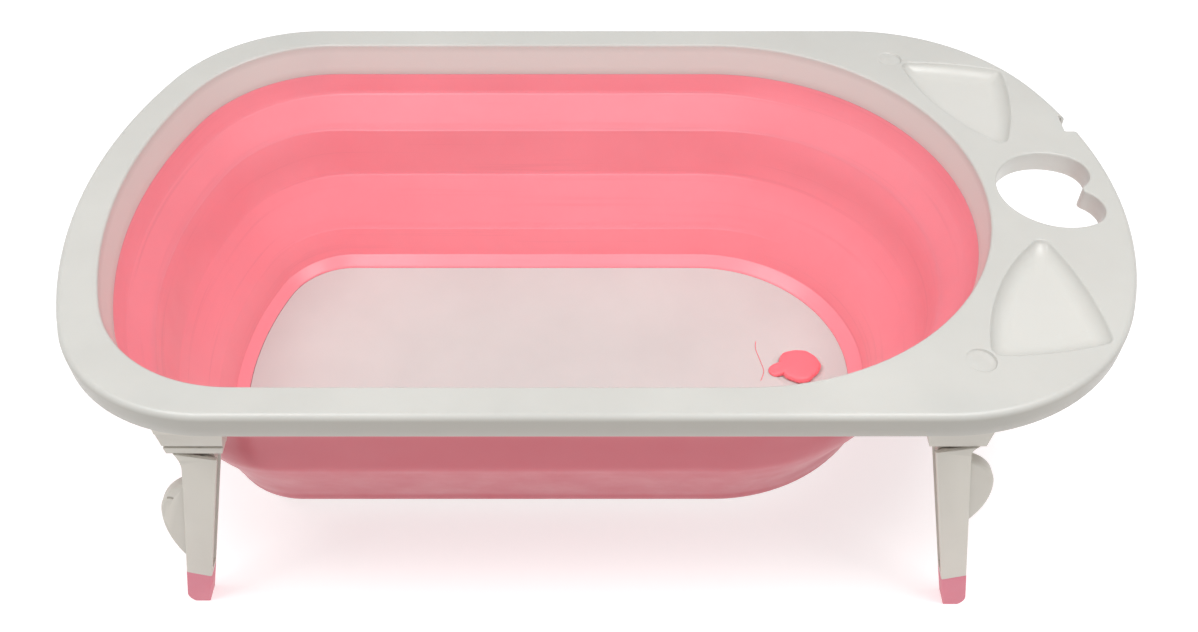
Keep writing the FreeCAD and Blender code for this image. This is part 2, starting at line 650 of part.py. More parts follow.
def base_tray():
    body = new_body("base_tray")
    floor_z = height_at(size("depth_floor"))
    under_z = floor_z - size("tray_thickness")
    plate = new_sketch(body, "plate", lift=floor_z)
    well_outline(plate, size("inset_floor"))
    pad(body, plate, size("tray_thickness"), reverse=True)
    ribs = new_sketch(body, "ribs", lift=under_z)
    reach = from_side("land_side") - size("inset_floor") - size("rib_end_gap")
    for i in (-2, -1, 0, 1):
        middle = size("rib_spacing") * i
        near = middle - size("rib_width") / 2
        far = middle + size("rib_width") / 2
        polygon(ribs, f"rib{i + 2}_", [(near, -reach), (far, -reach), (far, reach), (near, reach)])
    pad(body, ribs, size("rib_height"), reverse=True)
    boss = new_sketch(body, "boss", lift=under_z)
    circle(boss, "boss", from_end("drain_inset"), 0, size("drain_radius") + size("drain_boss"))
    pad(body, boss, size("rib_height"), reverse=True)
    drain = new_sketch(body, "drain", lift=floor_z)
    circle(drain, "drain", from_end("drain_inset"), 0, size("drain_radius"))
    pocket(body, drain, size("tray_thickness") + size("rib_height"))
    return body


def drain_plug():
    body = new_body("drain_plug")
    floor_z = height_at(size("depth_floor"))
    head = new_sketch(body, "head", lift=floor_z)
    circle(head, "head", from_end("drain_inset"), 0, size("plug_radius"))
    button = pad(body, head, size("plug_head"))
    tab = new_sketch(body, "tab", lift=floor_z)
    near_x = from_end("drain_inset") - size("plug_radius") / 2
    far_x = from_end("drain_inset") - size("plug_tab_reach") + size("plug_tab_half")
    half = size("plug_tab_half")
    bowed_polygon(tab, "tab", [(near_x, -half), (near_x, half), (far_x, half), (far_x, -half)],
                  {2: size("plug_tab_bow")})
    button = pad(body, tab, size("plug_head") / 2)
    round_edges(body, button, size("plug_head") / 4, level_edges((floor_z + size("plug_head")).number))
    stem = new_sketch(body, "stem", lift=floor_z)
    circle(stem, "stem", from_end("drain_inset"), 0, size("drain_radius") - size("drain_clearance"))
    pad(body, stem, size("plug_stem"), reverse=True)
    return body


# ---------------------------------------------------------------- leg brackets, legs, feet and pins
# Each of these is drawn with X pointing out from the tub's middle to its end, Y across and Z up, on the
# leg's middle plane. Its placement turns it to face the right way.

def out_placement(out, lane, head, lift, lean=0.0):
    """Placement of a piece at a leg: turned about Z for the plain end and leant out by the leg's splay."""
    facing = Rotation(Vector(0, 0, 1), 180 if out < 0 else 0)
    tilt = Rotation(Vector(0, 1, 0), -lean)
    return Placement(Vector(head.number * out, lane.number, lift.number), facing * tilt)


def head_level(drop, splay):
    """Depth of the leg's head below the rim's top, on the leg's middle line: its outer corner just clears
    the bracket."""
    sine = Size(math.sin(math.radians(splay.number)), f"sin({splay.text} * 1 deg)")
    return drop + size("stop_gap") + (size("leg_half") + size("leg_flare")) * sine


def pin_from_head(splay):
    """Hinge pin seen from the leg's head, in the bracket's level frame."""
    lean = math.radians(splay.number)
    inset, drop = size("pin_inset").number, size("pin_drop").number
    x = drop * math.sin(lean) - inset * math.cos(lean)
    z = -drop * math.cos(lean) - inset * math.sin(lean)
    angle = f"({splay.text} * 1 deg)"
    x_text = f"(Sizes.pin_drop * sin{angle} - Sizes.pin_inset * cos{angle})"
    z_text = f"(0 - Sizes.pin_drop * cos{angle} - Sizes.pin_inset * sin{angle})"
    return Size(x, x_text), Size(z, z_text)


def leg_bracket(name, out, lane, head, drop, splay):
    """Moulded block under the rim, with a screwed flange and the tongue that the leg hangs from."""
    body = new_body(f"leg_bracket_{name}")
    half = size("bracket_half")
    top = -size("top_plate")
    step_z = top - (drop - size("top_plate")) * size("bracket_break")
    chamfer, lead = size("bracket_chamfer"), size("bracket_lead")
    upper = new_sketch(body, "upper", "XZ_Plane")
    polygon(upper, "p", [(-half, step_z), (half, step_z), (half, top), (-half, top)])
    pad(body, upper, size("bracket_width"), midplane=True)
    lower = new_sketch(body, "lower", "XZ_Plane")
    polygon(lower, "p", [(-half, step_z), (chamfer - half, -drop), (half - lead, -drop), (half, step_z)])
    pad(body, lower, size("bracket_width") - size("bracket_step") * 2, midplane=True)
    hollow = new_sketch(body, "hollow", "XZ_Plane")
    wall = size("bracket_wall")
    polygon(hollow, "p", [(chamfer + wall - half, wall - drop), (half - lead - wall, wall - drop),
                          (half - lead - wall, top), (chamfer + wall - half, top)])
    pocket(body, hollow, size("bracket_width") - size("bracket_step") * 2 - wall * 2, midplane=True)
    flange = new_sketch(body, "flange", lift=-size("flange_depth"))
    reach = size("flange_reach")
    side = size("boss_radius")
    polygon(flange, "a", [(-reach, -side), (-half, -side), (-half, side), (-reach, side)])
    polygon(flange, "b", [(half, -side), (reach, -side), (reach, side), (half, side)])
    pad(body, flange, size("flange_wall"), reverse=True)
    holes = new_sketch(body, "holes", lift=-size("flange_depth"))
    for way in (-1, 1):
        circle(holes, "in" if way < 0 else "out", size("screw_place") * way, 0,
               size("screw_radius") + size("screw_gap"))
    pocket(body, holes, size("flange_wall"))
    pin_x, pin_z = pin_from_head(splay)
    pin_z = pin_z - head_level(drop, splay)
    radius = size("tongue_radius")
    tongue = new_sketch(body, "tongue", "XZ_Plane")
    polygon(tongue, "p", [(pin_x - radius, pin_z), (pin_x + radius, pin_z),
                          (pin_x + radius, wall / 2 - drop), (pin_x - radius, wall / 2 - drop)])
    pad(body, tongue, size("tongue_width"), midplane=True)
    knuckle = new_sketch(body, "knuckle", "XZ_Plane")
    circle(knuckle, "knuckle", pin_x, pin_z, radius)
    pad(body, knuckle, size("tongue_width"), midplane=True)
    bore = new_sketch(body, "bore", "XZ_Plane")
    circle(bore, "bore", pin_x, pin_z, size("pin_radius") + size("pin_gap"))
    pocket(body, bore, size("tongue_width"), midplane=True)
    body.Placement = out_placement(out, lane, head, size("tub_height"))
    return body


def ground_line(drop, splay):
    """Distance down a leg's middle line to the ground, and how much that grows outwards."""
    lean = math.radians(splay.number)
    rise = size("tub_height") - head_level(drop, splay)
    angle = f"({splay.text} * 1 deg)"
    reach = Size(rise.number / math.cos(lean), f"({rise.text} / cos{angle})")
    slope = Size(math.tan(lean), f"tan{angle}")
    return reach, slope


def bow_of(rise, run):
    """Radius of an arc that rises so much over so long a run and ends level."""
    return (rise * rise + run * run) / (rise * 2)


def leg(name, out, lane, head, drop, splay, end):
    """Channel moulding, open towards the tub's middle, with a lobe on its outer side."""
    body = new_body(f"leg_{name}")
    reach, _ = ground_line(drop, splay)
    half, waist, wall = size("leg_half"), size("leg_waist"), size("leg_wall")
    seam = reach - size("foot_height")
    narrow = size("leg_toe") + (half - size("leg_toe")) * size("foot_height") / reach
    seam_drop = size("leg_wall")
    start, stop = size(f"lobe_start_{end}"), size(f"lobe_end_{end}")

    side = new_sketch(body, "side", "XZ_Plane")
    bowed_polygon(side, "p", [
        (-half, 0), (-narrow, -seam - seam_drop), (waist, -seam), (waist, -start / 2),
        (half + size("leg_flare"), 0),
    ], {3: -bow_of(half + size("leg_flare") - waist, start / 2)})
    blank = pad(body, side, size("leg_depth"), midplane=True)
    round_edges(body, blank, size("leg_wall") / 2, lambda edge: (
        abs(abs(edge.BoundBox.YMin) - size("leg_depth").number / 2) < TOUCH
        and edge.BoundBox.YLength < TOUCH and edge.BoundBox.ZLength > seam.number / 2))

    channel = new_sketch(body, "channel", "XZ_Plane")
    floor_z = wall * 2 - seam
    polygon(channel, "p", [(-half * 2, half), (-half * 2, floor_z),
                           (waist - wall, floor_z), (waist - wall, half)])
    pocket(body, channel, size("leg_depth") - wall * 2, midplane=True)

    lobe = new_sketch(body, "lobe", "XZ_Plane")
    root = waist - wall / 2
    rise = size("lobe_rise") + wall / 2
    crown = start + (stop - start) * size("lobe_crown")
    bowed_polygon(lobe, "p", [(root, -start), (root, -stop), (root + rise, -crown)],
                  {1: bow_of(rise, stop - crown), 2: bow_of(rise, crown - start)})
    bulge = pad(body, lobe, size("lobe_depth"), midplane=True)
    round_edges(body, bulge, size("lobe_depth") / 4, lambda edge: (
        edge.BoundBox.YLength < TOUCH and edge.BoundBox.XMax > (root + rise - wall / 4).number
        and abs(abs(edge.BoundBox.YMin) - size("lobe_depth").number / 2) < TOUCH))

    ribs = new_sketch(body, "ribs", "XZ_Plane")
    near, far = -size("leg_toe") / 2, waist - wall / 2
    for i in (1, 2, 3):
        z = -(start / 2 + (seam - start / 2) * i / 4)
        low = z - size("leg_rib")
        polygon(ribs, f"rib{i}_", [(near, low), (far, low), (far, z), (near, z)])
    pad(body, ribs, size("leg_depth") - wall, midplane=True)

    pin_x, pin_z = -size("pin_inset"), -size("pin_drop")
    bosses = new_sketch(body, "bosses", "XZ_Plane")
    circle(bosses, "boss", pin_x, pin_z, size("tongue_radius"))
    pad(body, bosses, size("leg_depth") - wall, midplane=True)
    slot = new_sketch(body, "slot", "XZ_Plane")
    circle(slot, "slot", pin_x, pin_z, size("tongue_radius") + size("tongue_gap"))
    pocket(body, slot, size("tongue_width") + size("tongue_gap") * 2, midplane=True)
    socket = new_sketch(body, "socket", "XZ_Plane")
    circle(socket, "socket", pin_x, pin_z, size("pin_radius"))
    pocket(body, socket, size("pin_length"), midplane=True)

    tenon = new_sketch(body, "tenon", "XZ_Plane")
    tenon_in = size("foot_wall") - narrow
    tenon_out = waist - size("foot_wall")
    tenon_end = -seam - size("foot_tenon")
    polygon(tenon, "p", [(tenon_in, -seam), (tenon_in + size("foot_wall") / 2, tenon_end),
                         (tenon_out, tenon_end), (tenon_out, wall - seam), (tenon_in, wall - seam)])
    pad(body, tenon, size("leg_depth") - size("foot_wall") * 2, midplane=True)
    body.Placement = out_placement(out, lane, head, height_at(head_level(drop, splay)), splay.number)
    return body


def foot_tip(name, out, lane, head, drop, splay):
    """Soft cap on the leg's end, cut level where it meets the ground."""
    body = new_body(f"foot_tip_{name}")
    reach, slope = ground_line(drop, splay)
    half, waist, wall = size("leg_half"), size("leg_waist"), size("foot_wall")
    seam = reach - size("foot_height")
    narrow = size("leg_toe") + (half - size("leg_toe")) * size("foot_height") / reach
    seam_drop = size("leg_wall")
    toe = size("leg_toe")
    heel = waist - toe
    rise = size("heel_rise")
    side = new_sketch(body, "side", "XZ_Plane")
    bowed_polygon(side, "p", [
        (waist, -seam), (-narrow, -seam - seam_drop), (-toe, toe * slope - reach),
        (heel, -reach - heel * slope), (waist, rise - reach),
    ], {3: size("heel_bow")})
    pad(body, side, size("leg_depth"), midplane=True)
    gap = size("foot_gap")
    socket = new_sketch(body, "socket", "XZ_Plane")
    tenon_in = wall - narrow
    tenon_out = waist - wall
    tenon_end = -seam - size("foot_tenon")
    polygon(socket, "p", [(tenon_in - gap, wall - seam), (tenon_in - gap, -seam - gap),
                          (tenon_in + wall / 2 - gap, tenon_end - gap),
                          (tenon_out + gap, tenon_end - gap), (tenon_out + gap, wall - seam)])
    pocket(body, socket, size("leg_depth") - wall * 2 + gap * 2, midplane=True)
    body.Placement = out_placement(out, lane, head, height_at(head_level(drop, splay)), splay.number)
    return body


def hinge_pin(name, out, lane, head, drop, splay):
    """Plain pin, held in the leg's two plates and turning in the bracket's tongue."""
    pin = doc.addObject("Part::Cylinder", f"hinge_pin_{name}")
    pin.Label = f"hinge_pin_{name}"
    pin.setExpression("Radius", "Sizes.pin_radius")
    pin.setExpression("Height", "Sizes.pin_length")
    pin_x, pin_z = pin_from_head(splay)
    spot = Vector((head.number + pin_x.number) * out, lane.number,
                  (height_at(head_level(drop, splay)) + pin_z).number)
    lie = Rotation(Vector(1, 0, 0), 90)
    pin.Placement = Placement(spot + Vector(0, size("pin_length").number / 2, 0), lie)
    return pin


def bracket_screws():
    """Two pan-head screws for each bracket, pointing up into the rim's bosses."""
    screws = []
    under_flange = height_at(size("flange_depth") + size("flange_wall"))
    for name, out, lane, head, _, _ in bracket_places():
        for way in (-1, 1):
            tag = f"{name}_{'in' if way < 0 else 'out'}"
            spot = Vector((head * out + size("screw_place") * way).number, lane.number, under_flange.number)
            shank = doc.addObject("Part::Cylinder", f"shank_{tag}")
            shank.setExpression("Radius", "Sizes.screw_radius")
            shank.setExpression("Height", "Sizes.screw_length")
            cap = doc.addObject("Part::Cylinder", f"cap_{tag}")
            cap.setExpression("Radius", "Sizes.screw_head")
            cap.setExpression("Height", "Sizes.screw_head_height")
            shank.Placement = Placement(spot, Rotation())
            cap.Placement = Placement(spot - Vector(0, 0, size("screw_head_height").number), Rotation())
            screw = doc.addObject("Part::Fuse", f"screw_{tag}")
            screw.Base = shank
            screw.Tool = cap
            screws.append(screw)
    group = doc.addObject("Part::Compound", "bracket_screws")
    group.Label = "bracket_screws"
    group.Links = screws
    return group


# ---------------------------------------------------------------- build, check and write

def build():
    parts = [
        rim_frame(),
        wall_ring("wall_upper_band", "collar", "fold_one"),
        wall_ring("wall_upper_fold", "fold_one", "band_two"),
        wall_ring("wall_middle_band", "band_two", "fold_two"),
        wall_ring("wall_lower_fold", "fold_two", "band_three"),
        lower_band(),
        base_tray(),
        drain_plug(),
        bracket_screws(),
    ]
    for name, out, lane, head, drop, end in bracket_places():
        splay = size(f"splay_{end}")
        parts.append(leg_bracket(name, out, lane, head, drop, splay))
        parts.append(leg(name, out, lane, head, drop, splay, end))
        parts.append(foot_tip(name, out, lane, head, drop, splay))
        parts.append(hinge_pin(name, out, lane, head, drop, splay))
    doc.recompute()
    return parts


def check(parts):
    for item in doc.Objects:
        if "Invalid" in item.State or "Error" in item.State:
            raise RuntimeError(f"{item.Name} is {item.State}")
        if item.isDerivedFrom("Sketcher::SketchObject") and not item.FullyConstrained:
            raise RuntimeError(f"{item.Name} is not fully constrained")
    for part in parts:
        if part.Shape.isNull() or not part.Shape.isValid():
            raise RuntimeError(f"{part.Label} has no valid shape")


all_parts = build()
check(all_parts)
os.makedirs("parts", exist_ok=True)
for part in all_parts:
    part.Shape.exportStep(f"parts/{part.Label}.step")
    box = part.Shape.BoundBox
    low = f"({box.XMin:.1f}, {box.YMin:.1f}, {box.ZMin:.1f})"
    high = f"({box.XMax:.1f}, {box.YMax:.1f}, {box.ZMax:.1f})"
    print(f"{part.Label}: {len(part.Shape.Solids)} solid, volume {part.Shape.Volume:.0f}, {low} to {high}")
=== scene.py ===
import math

import bmesh
import bpy
from bpy.props import FloatProperty, FloatVectorProperty, PointerProperty
from mathutils import Matrix, Vector, noise
from mathutils.kdtree import KDTree


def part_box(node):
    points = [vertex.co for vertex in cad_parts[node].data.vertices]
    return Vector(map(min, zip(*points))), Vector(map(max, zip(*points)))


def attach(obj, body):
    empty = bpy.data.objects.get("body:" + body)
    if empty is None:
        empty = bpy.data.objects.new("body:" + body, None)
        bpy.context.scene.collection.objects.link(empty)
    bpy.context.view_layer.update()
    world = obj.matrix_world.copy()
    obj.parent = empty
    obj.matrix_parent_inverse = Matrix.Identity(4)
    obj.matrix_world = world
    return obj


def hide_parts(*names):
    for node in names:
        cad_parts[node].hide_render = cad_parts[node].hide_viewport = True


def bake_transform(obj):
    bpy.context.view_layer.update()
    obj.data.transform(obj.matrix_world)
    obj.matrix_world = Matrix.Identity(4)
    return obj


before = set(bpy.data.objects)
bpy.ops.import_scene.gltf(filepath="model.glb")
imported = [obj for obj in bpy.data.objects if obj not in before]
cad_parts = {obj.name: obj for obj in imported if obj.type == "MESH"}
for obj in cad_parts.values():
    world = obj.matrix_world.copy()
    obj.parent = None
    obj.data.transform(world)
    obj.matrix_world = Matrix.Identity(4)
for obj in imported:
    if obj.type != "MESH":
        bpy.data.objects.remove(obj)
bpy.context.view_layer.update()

bl_info = {
    "name": "Folding baby bathtub",
    "version": (1, 0, 0),
    "blender": (4, 5, 0),
    "location": "View3D > Sidebar > Bathtub",
    "description": "Builds the finished surfaces of a folding baby bathtub round its packed frame",
    "category": "Object",
}

MM = 0.001
RIM_LOW, RIM_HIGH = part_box("rim_frame")
TOP = RIM_HIGH.z
HALF_LENGTH = (RIM_HIGH.x - RIM_LOW.x) / 2
HALF_WIDTH = (RIM_HIGH.y - RIM_LOW.y) / 2
LEG_PLACES = [f"{row}_{end}" for end in ("left", "right") for row in ("front", "back")]

# Depths below the rim's top where the soft wall changes direction, read from the frame's nodes.
DEPTH_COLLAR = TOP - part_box("wall_upper_band")[1].z
DEPTH_FOLD_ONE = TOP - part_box("wall_upper_fold")[1].z
DEPTH_BAND_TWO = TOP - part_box("wall_middle_band")[1].z
DEPTH_FOLD_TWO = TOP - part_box("wall_lower_fold")[1].z
DEPTH_BAND_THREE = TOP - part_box("wall_lower_band")[1].z
DEPTH_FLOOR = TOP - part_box("base_tray")[1].z
DEPTH_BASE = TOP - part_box("wall_lower_band")[0].z


# ---------------------------------------------------------------- sizes and colours a user would change

def length(name, description, millimetres):
    return FloatProperty(name=name, description=description, default=millimetres * MM, unit="LENGTH",
                         precision=4)


def colour(name, description, value):
    return FloatVectorProperty(name=name, description=description, default=value, subtype="COLOR",
                               min=0.0, max=1.0)


class BathRimSizes(bpy.types.PropertyGroup):
    """Rim, hanging hole and soap dishes."""

    land_side: length("Side land", "Width of the rim's top along the sides", 27.5)
    land_left: length("End land", "Width of the rim's top at the plain end", 29.5)
    platform: length("Platform", "Width of the rim's top at the platform end", 106.0)
    left_corner: length("Plain corner", "Corner radius of the rim at the plain end", 130.0)
    left_bow: length("Plain bow", "Radius of the plain end between its corners", 396.0)
    right_corner: length("Platform corner", "Corner radius of the rim at the platform end", 165.0)
    right_bow: length("Platform bow", "Radius of the platform end between its corners", 329.0)
    opening_corner: length("Opening corner", "Corner radius of the opening at the plain end", 120.0)
    opening_bow: length("Opening bow", "Radius of the opening's plain end", 359.0)
    plate: length("Top plate", "Thickness of the rim's top", 3.0)
    skirt: length("Skirt wall", "Thickness of the rim's outer skirt", 2.5)
    skirt_depth: length("Skirt", "Depth of the rim's outer skirt", 20.0)
    edge: length("Edge round", "Rounding of the rim's outer top edge", 5.0)
    lip: length("Lip round", "Rounding of the opening's edge", 2.2)
    collar: length("Collar wall", "Thickness of the collar that the soft wall hangs from", 3.0)
    heart_inset: length("Hole place", "Middle of the hanging hole's blunt end, in from the end", 49.2)
    heart_radius: length("Hole radius", "Radius of the hanging hole's blunt end", 46.0)
    heart_shift: length("Lobe shift", "How far the lobes' middles lie past the blunt end's middle", 10.5)
    heart_lobe: length("Lobe radius", "Radius of the hanging hole's two lobes", 22.0)
    heart_notch: length("Cusp round", "Rounding of the cusp between the lobes", 5.0)
    heart_depth: length("Hole depth", "Depth of the wall round the hanging hole", 18.0)
    dish_depth: length("Dish depth", "Depth of the soap dishes", 9.0)
    pan: length("Pan wall", "Wall of the soap dishes and of the hanging hole", 2.5)
    dimple: length("Dimple", "Radius of the finger scoop beside each dish", 10.9)


class BathWallSizes(bpy.types.PropertyGroup):
    """Soft wall, floor and plug."""

    thickness: length("Wall", "Thickness of the soft wall", 3.0)
    inset_collar: length("Inset at collar", "Inset of the collar's lower edge", 2.6)
    inset_fold_one: length("Inset at upper fold", "Inset at the top of the upper fold", 4.6)
    inset_band_two: length("Inset at middle band", "Inset at the top of the middle band", 24.0)
    inset_fold_two: length("Inset at lower fold", "Inset at the top of the lower fold", 27.0)
    inset_band_three: length("Inset at lower band", "Inset at the top of the lower band", 53.2)
    inset_bead: length("Inset at bead", "Inset where the wall turns in to the floor", 60.0)
    inset_floor: length("Inset at floor", "Inset of the floor's edge", 71.0)
    depth_bead: length("Bead depth", "Where the wall turns in to the floor, below the rim's top", 207.0)
    crease: length("Crease", "Depth of the moulded crease at each change of direction", 0.85)
    crease_width: length("Crease width", "Half width of that crease", 0.9)
    belly_round: length("Belly round", "Rounding of the tub's lower outer edge", 21.0)
    ripple: length("Ripple", "Unevenness of the soft wall", 0.5)
    tray: length("Tray", "Thickness of the floor", 4.0)


class BathColours(bpy.types.PropertyGroup):
    """Colours of the mouldings."""

    rim: colour("Rim", "White moulding of the rim", (0.565, 0.56, 0.53))
    leg: colour("Legs", "White moulding of the legs and brackets", (0.56, 0.53, 0.475))
    floor: colour("Floor", "White moulding of the floor", (0.60, 0.625, 0.605))
    wall: colour("Wall", "Pink elastomer of the soft wall", (0.98, 0.31, 0.365))
    foot: colour("Feet", "Pink elastomer of the foot tips", (0.66, 0.20, 0.26))
    plug: colour("Plug", "Pink elastomer of the drain plug", (0.97, 0.20, 0.24))
    steel: colour("Steel", "Zinc-plated screws and pins", (0.55, 0.55, 0.54))


def sizes():
    return bpy.context.scene.bath_rim, bpy.context.scene.bath_wall


# ---------------------------------------------------------------- outlines, all walked the same way round

def arc(x, y, radius, start, end, steps):
    """Points of an arc from start to end, without the last one."""
    turn = (end - start) / steps
    return [(x + radius * math.cos(start + turn * i), y + radius * math.sin(start + turn * i))
            for i in range(steps)]


def straight(x1, x2, y, steps):
    """Points of a straight side from x1 to x2, without the last one."""
    return [(x1 + (x2 - x1) * i / steps, y) for i in range(steps)]


def rounded_end(end_x, half, corner, bow, side):
    """Middles and angle of a bowed end: side is -1 for the plain end and +1 for the platform end."""
    bow_x = end_x - side * bow
    step = math.sqrt((bow - corner) ** 2 - (half - corner) ** 2)
    return bow_x, bow_x + side * step, math.atan2(half - corner, step)


# How many pieces each stretch of an outline in plan is divided into.
STEPS_SIDE, STEPS_CORNER, STEPS_BOW, STEPS_ROUND_END = 18, 22, 20, 56
STEPS_FAR_CORNER, STEPS_FAR_BOW = 24, 26
STEPS_HOLE, STEPS_LOBE, STEPS_CUSP = 48, 20, 8
STEPS_DISH_SIDE, STEPS_DISH_CORNER = 14, 10


def plan_loop(half, left_x, right_x, corner, bow, far_corner=None, far_bow=None):
    """Outline in plan: a bowed plain end, and a platform end that is bowed too or a half circle."""
    quarter = math.pi / 2
    bow_x, corner_x, turn = rounded_end(left_x, half, corner, bow, -1)
    end_x = right_x - half
    if far_corner is not None:
        far_bow_x, end_x, far_turn = rounded_end(right_x, half, far_corner, far_bow, 1)
    points = straight(end_x, corner_x, half, STEPS_SIDE)
    points += arc(corner_x, half - corner, corner, quarter, math.pi - turn, STEPS_CORNER)
    points += arc(bow_x, 0, bow, math.pi - turn, math.pi + turn, STEPS_BOW)
    points += arc(corner_x, corner - half, corner, math.pi + turn, 3 * quarter, STEPS_CORNER)
    points += straight(corner_x, end_x, -half, STEPS_SIDE)
    if far_corner is None:
        return points + arc(end_x, 0, half, -quarter, quarter, STEPS_ROUND_END)
    points += arc(end_x, far_corner - half, far_corner, -quarter, -far_turn, STEPS_FAR_CORNER)
    points += arc(far_bow_x, 0, far_bow, -far_turn, far_turn, STEPS_FAR_BOW)
    return points + arc(end_x, half - far_corner, far_corner, far_turn, quarter, STEPS_FAR_CORNER)


def rim_loop(inset):
    """The rim's outer edge, moved inwards."""
    rim, _ = sizes()
    half = HALF_LENGTH - inset
    return plan_loop(HALF_WIDTH - inset, -half, half, rim.left_corner - inset, rim.left_bow - inset,
                     rim.right_corner - inset, rim.right_bow - inset)


SHARE_LEFT, SHARE_RIGHT, SHARE_CORNER = 0.84, 1.08, 0.85  # how the ends and corners follow a side's inset


def well_loop(inset, outward=0.0):
    """The tub's inside at a level with this inset, moved outwards."""
    rim, _ = sizes()
    half = HALF_WIDTH - rim.land_side - inset + outward
    left = rim.land_left - HALF_LENGTH + inset * SHARE_LEFT - outward
    right = HALF_LENGTH - rim.platform - inset * SHARE_RIGHT + outward
    corner = rim.opening_corner - inset * SHARE_CORNER + outward
    return plan_loop(half, left, right, corner, rim.opening_bow - inset + outward)


def heart_loop(grow):
    """Hanging hole: a blunt end towards the tub, two lobes, and a rounded cusp between them."""
    rim, _ = sizes()
    place = HALF_LENGTH - rim.heart_inset
    lobe_x = place + rim.heart_shift
    tip, lobe = rim.heart_radius + grow, rim.heart_lobe + grow
    spread = math.sqrt((rim.heart_radius - rim.heart_lobe) ** 2 - rim.heart_shift ** 2)
    turn = math.atan2(spread, rim.heart_shift)
    cusp_x = lobe_x + math.sqrt((rim.heart_lobe + rim.heart_notch) ** 2 - spread ** 2)
    meet = math.atan2(spread, cusp_x - lobe_x)
    points = arc(place, 0, tip, turn, 2 * math.pi - turn, STEPS_HOLE)
    points += arc(lobe_x, -spread, lobe, -turn, meet, STEPS_LOBE)
    points += arc(cusp_x, 0, rim.heart_notch - grow, math.pi + meet, math.pi - meet, STEPS_CUSP)
    return points + arc(lobe_x, spread, lobe, -meet, turn, STEPS_LOBE)


# Corners of a soap dish: (in from the platform's end, in from the tub's side), in the order of the walk.
DISH_CORNERS = ((78 * MM, 165.5 * MM), (61 * MM, 73.5 * MM), (133 * MM, 62.5 * MM))
# Radius of the bowed side that starts at each corner.
DISH_BOWS = (260 * MM, 260 * MM, 190 * MM)


def dish_loop(side, shrink, corner):
    """Curved three-cornered outline, shrunk towards its middle, with corners of this radius."""
    spots = [Vector((HALF_LENGTH - x, HALF_WIDTH - y)) for x, y in DISH_CORNERS]
    middle = sum(spots, Vector((0, 0))) / 3
    spots = [middle + (spot - middle) * (1 - shrink) for spot in spots]
    arcs = []
    for i, bow in enumerate(DISH_BOWS):
        start, end = spots[i], spots[(i + 1) % 3]
        chord = end - start
        radius = (bow - corner) * (1 - shrink)
        reach = math.sqrt(radius ** 2 - chord.length_squared / 4)
        centre = (start + end) / 2 + Vector((-chord.y, chord.x)).normalized() * reach
        turns = [math.atan2(spot.y - centre.y, spot.x - centre.x) for spot in (start, end)]
        arcs.append((centre, radius + corner, turns[0], turns[1]))
    points = []
    for i, (centre, radius, start, end) in enumerate(arcs):
        points += arc(centre.x, centre.y, radius, start, end, STEPS_DISH_SIDE)
        turn = (arcs[(i + 1) % 3][2] - end) % (2 * math.pi)
        spot = spots[(i + 1) % 3]
        points += arc(spot.x, spot.y, corner, end, end + turn, STEPS_DISH_CORNER)
    if side < 0:
        points = [(x, -y) for x, y in reversed(points)]
    return points


# ---------------------------------------------------------------- closed shells from loops

MERGE_GAP = 0.001 * MM


def clamped(value):
    """The value kept between 0 and 1."""
    return min(1.0, max(0.0, value))


def linked(name, data):
    """A new object with this data, put in the scene."""
    piece = bpy.data.objects.new(name, data)
    bpy.context.scene.collection.objects.link(piece)
    return piece


def mesh_from(name, shape):
    """A mesh made from the bmesh, which is used up."""
    data = bpy.data.meshes.new(name)
    shape.to_mesh(data)
    shape.free()
    return data


class Shell:
    """A mesh built from level loops, joined by strips and closed by flat fills."""

    def __init__(self):
        self.mesh = bmesh.new()

    def ring(self, points, depth):
        """A loop at this depth below the rim's top; depth may also be one value per point."""
        depths = depth if isinstance(depth, list) else [depth] * len(points)
        return [self.mesh.verts.new((x, y, TOP - z)) for (x, y), z in zip(points, depths)]

    def skin(self, rings):
        """Strips between each ring and the next. Returns the first and the last ring."""
        for above, below in zip(rings, rings[1:]):
            for i in range(len(above)):
                j = (i + 1) % len(above)
                self.mesh.faces.new((above[i], above[j], below[j], below[i]))
        return rings[0], rings[-1]

    def fill(self, *rings):
        """A flat face between rings: the first is the outer one and the others are holes in it."""
        edges = []
        for ring in rings:
            for i in range(len(ring)):
                pair = (ring[i], ring[(i + 1) % len(ring)])
                edges.append(self.mesh.edges.get(pair) or self.mesh.edges.new(pair))
        bmesh.ops.triangle_fill(self.mesh, use_beauty=True, edges=edges)

    def add(self, mesh):
        """Takes in another mesh, which is used up."""
        self.mesh.from_mesh(mesh)
        bpy.data.meshes.remove(mesh)

    def closed(self, name):
        """The shell's mesh with its faces outwards. The shell is used up."""
        bmesh.ops.recalc_face_normals(self.mesh, faces=self.mesh.faces)
        return mesh_from(name, self.mesh)

    def finish(self, name, material, sharp=50.0, painted_shade_and_light=None):
        """The shell as an object. The shell is used up."""
        return finished(name, self.closed(name), material, sharp, painted_shade_and_light)


def finished(name, data, material, sharp=50.0, painted_shade_and_light=None):
    """An object at the origin with this mesh, smooth but for edges sharper than the angle."""
    # Painted shade (-1) and painted light (+1) for each point go into a mesh attribute.
    if painted_shade_and_light is not None:
        values = data.attributes.new(PAINTED_SHADE_AND_LIGHT, "FLOAT", "POINT").data
        for vert, value in zip(data.vertices, values):
            value.value = painted_shade_and_light(vert)
    data.materials.clear()
    data.materials.append(material)
    data.shade_smooth()
    data.set_sharp_from_angle(angle=math.radians(sharp))
    return linked(name, data)


def round_over(radius, steps=6):
    """Quarter round from level to upright: (distance still to go outwards, depth reached)."""
    turns = [math.pi / 2 * i / steps for i in range(steps + 1)]
    return [(radius * (1 - math.sin(turn)), radius * (1 - math.cos(turn))) for turn in turns]


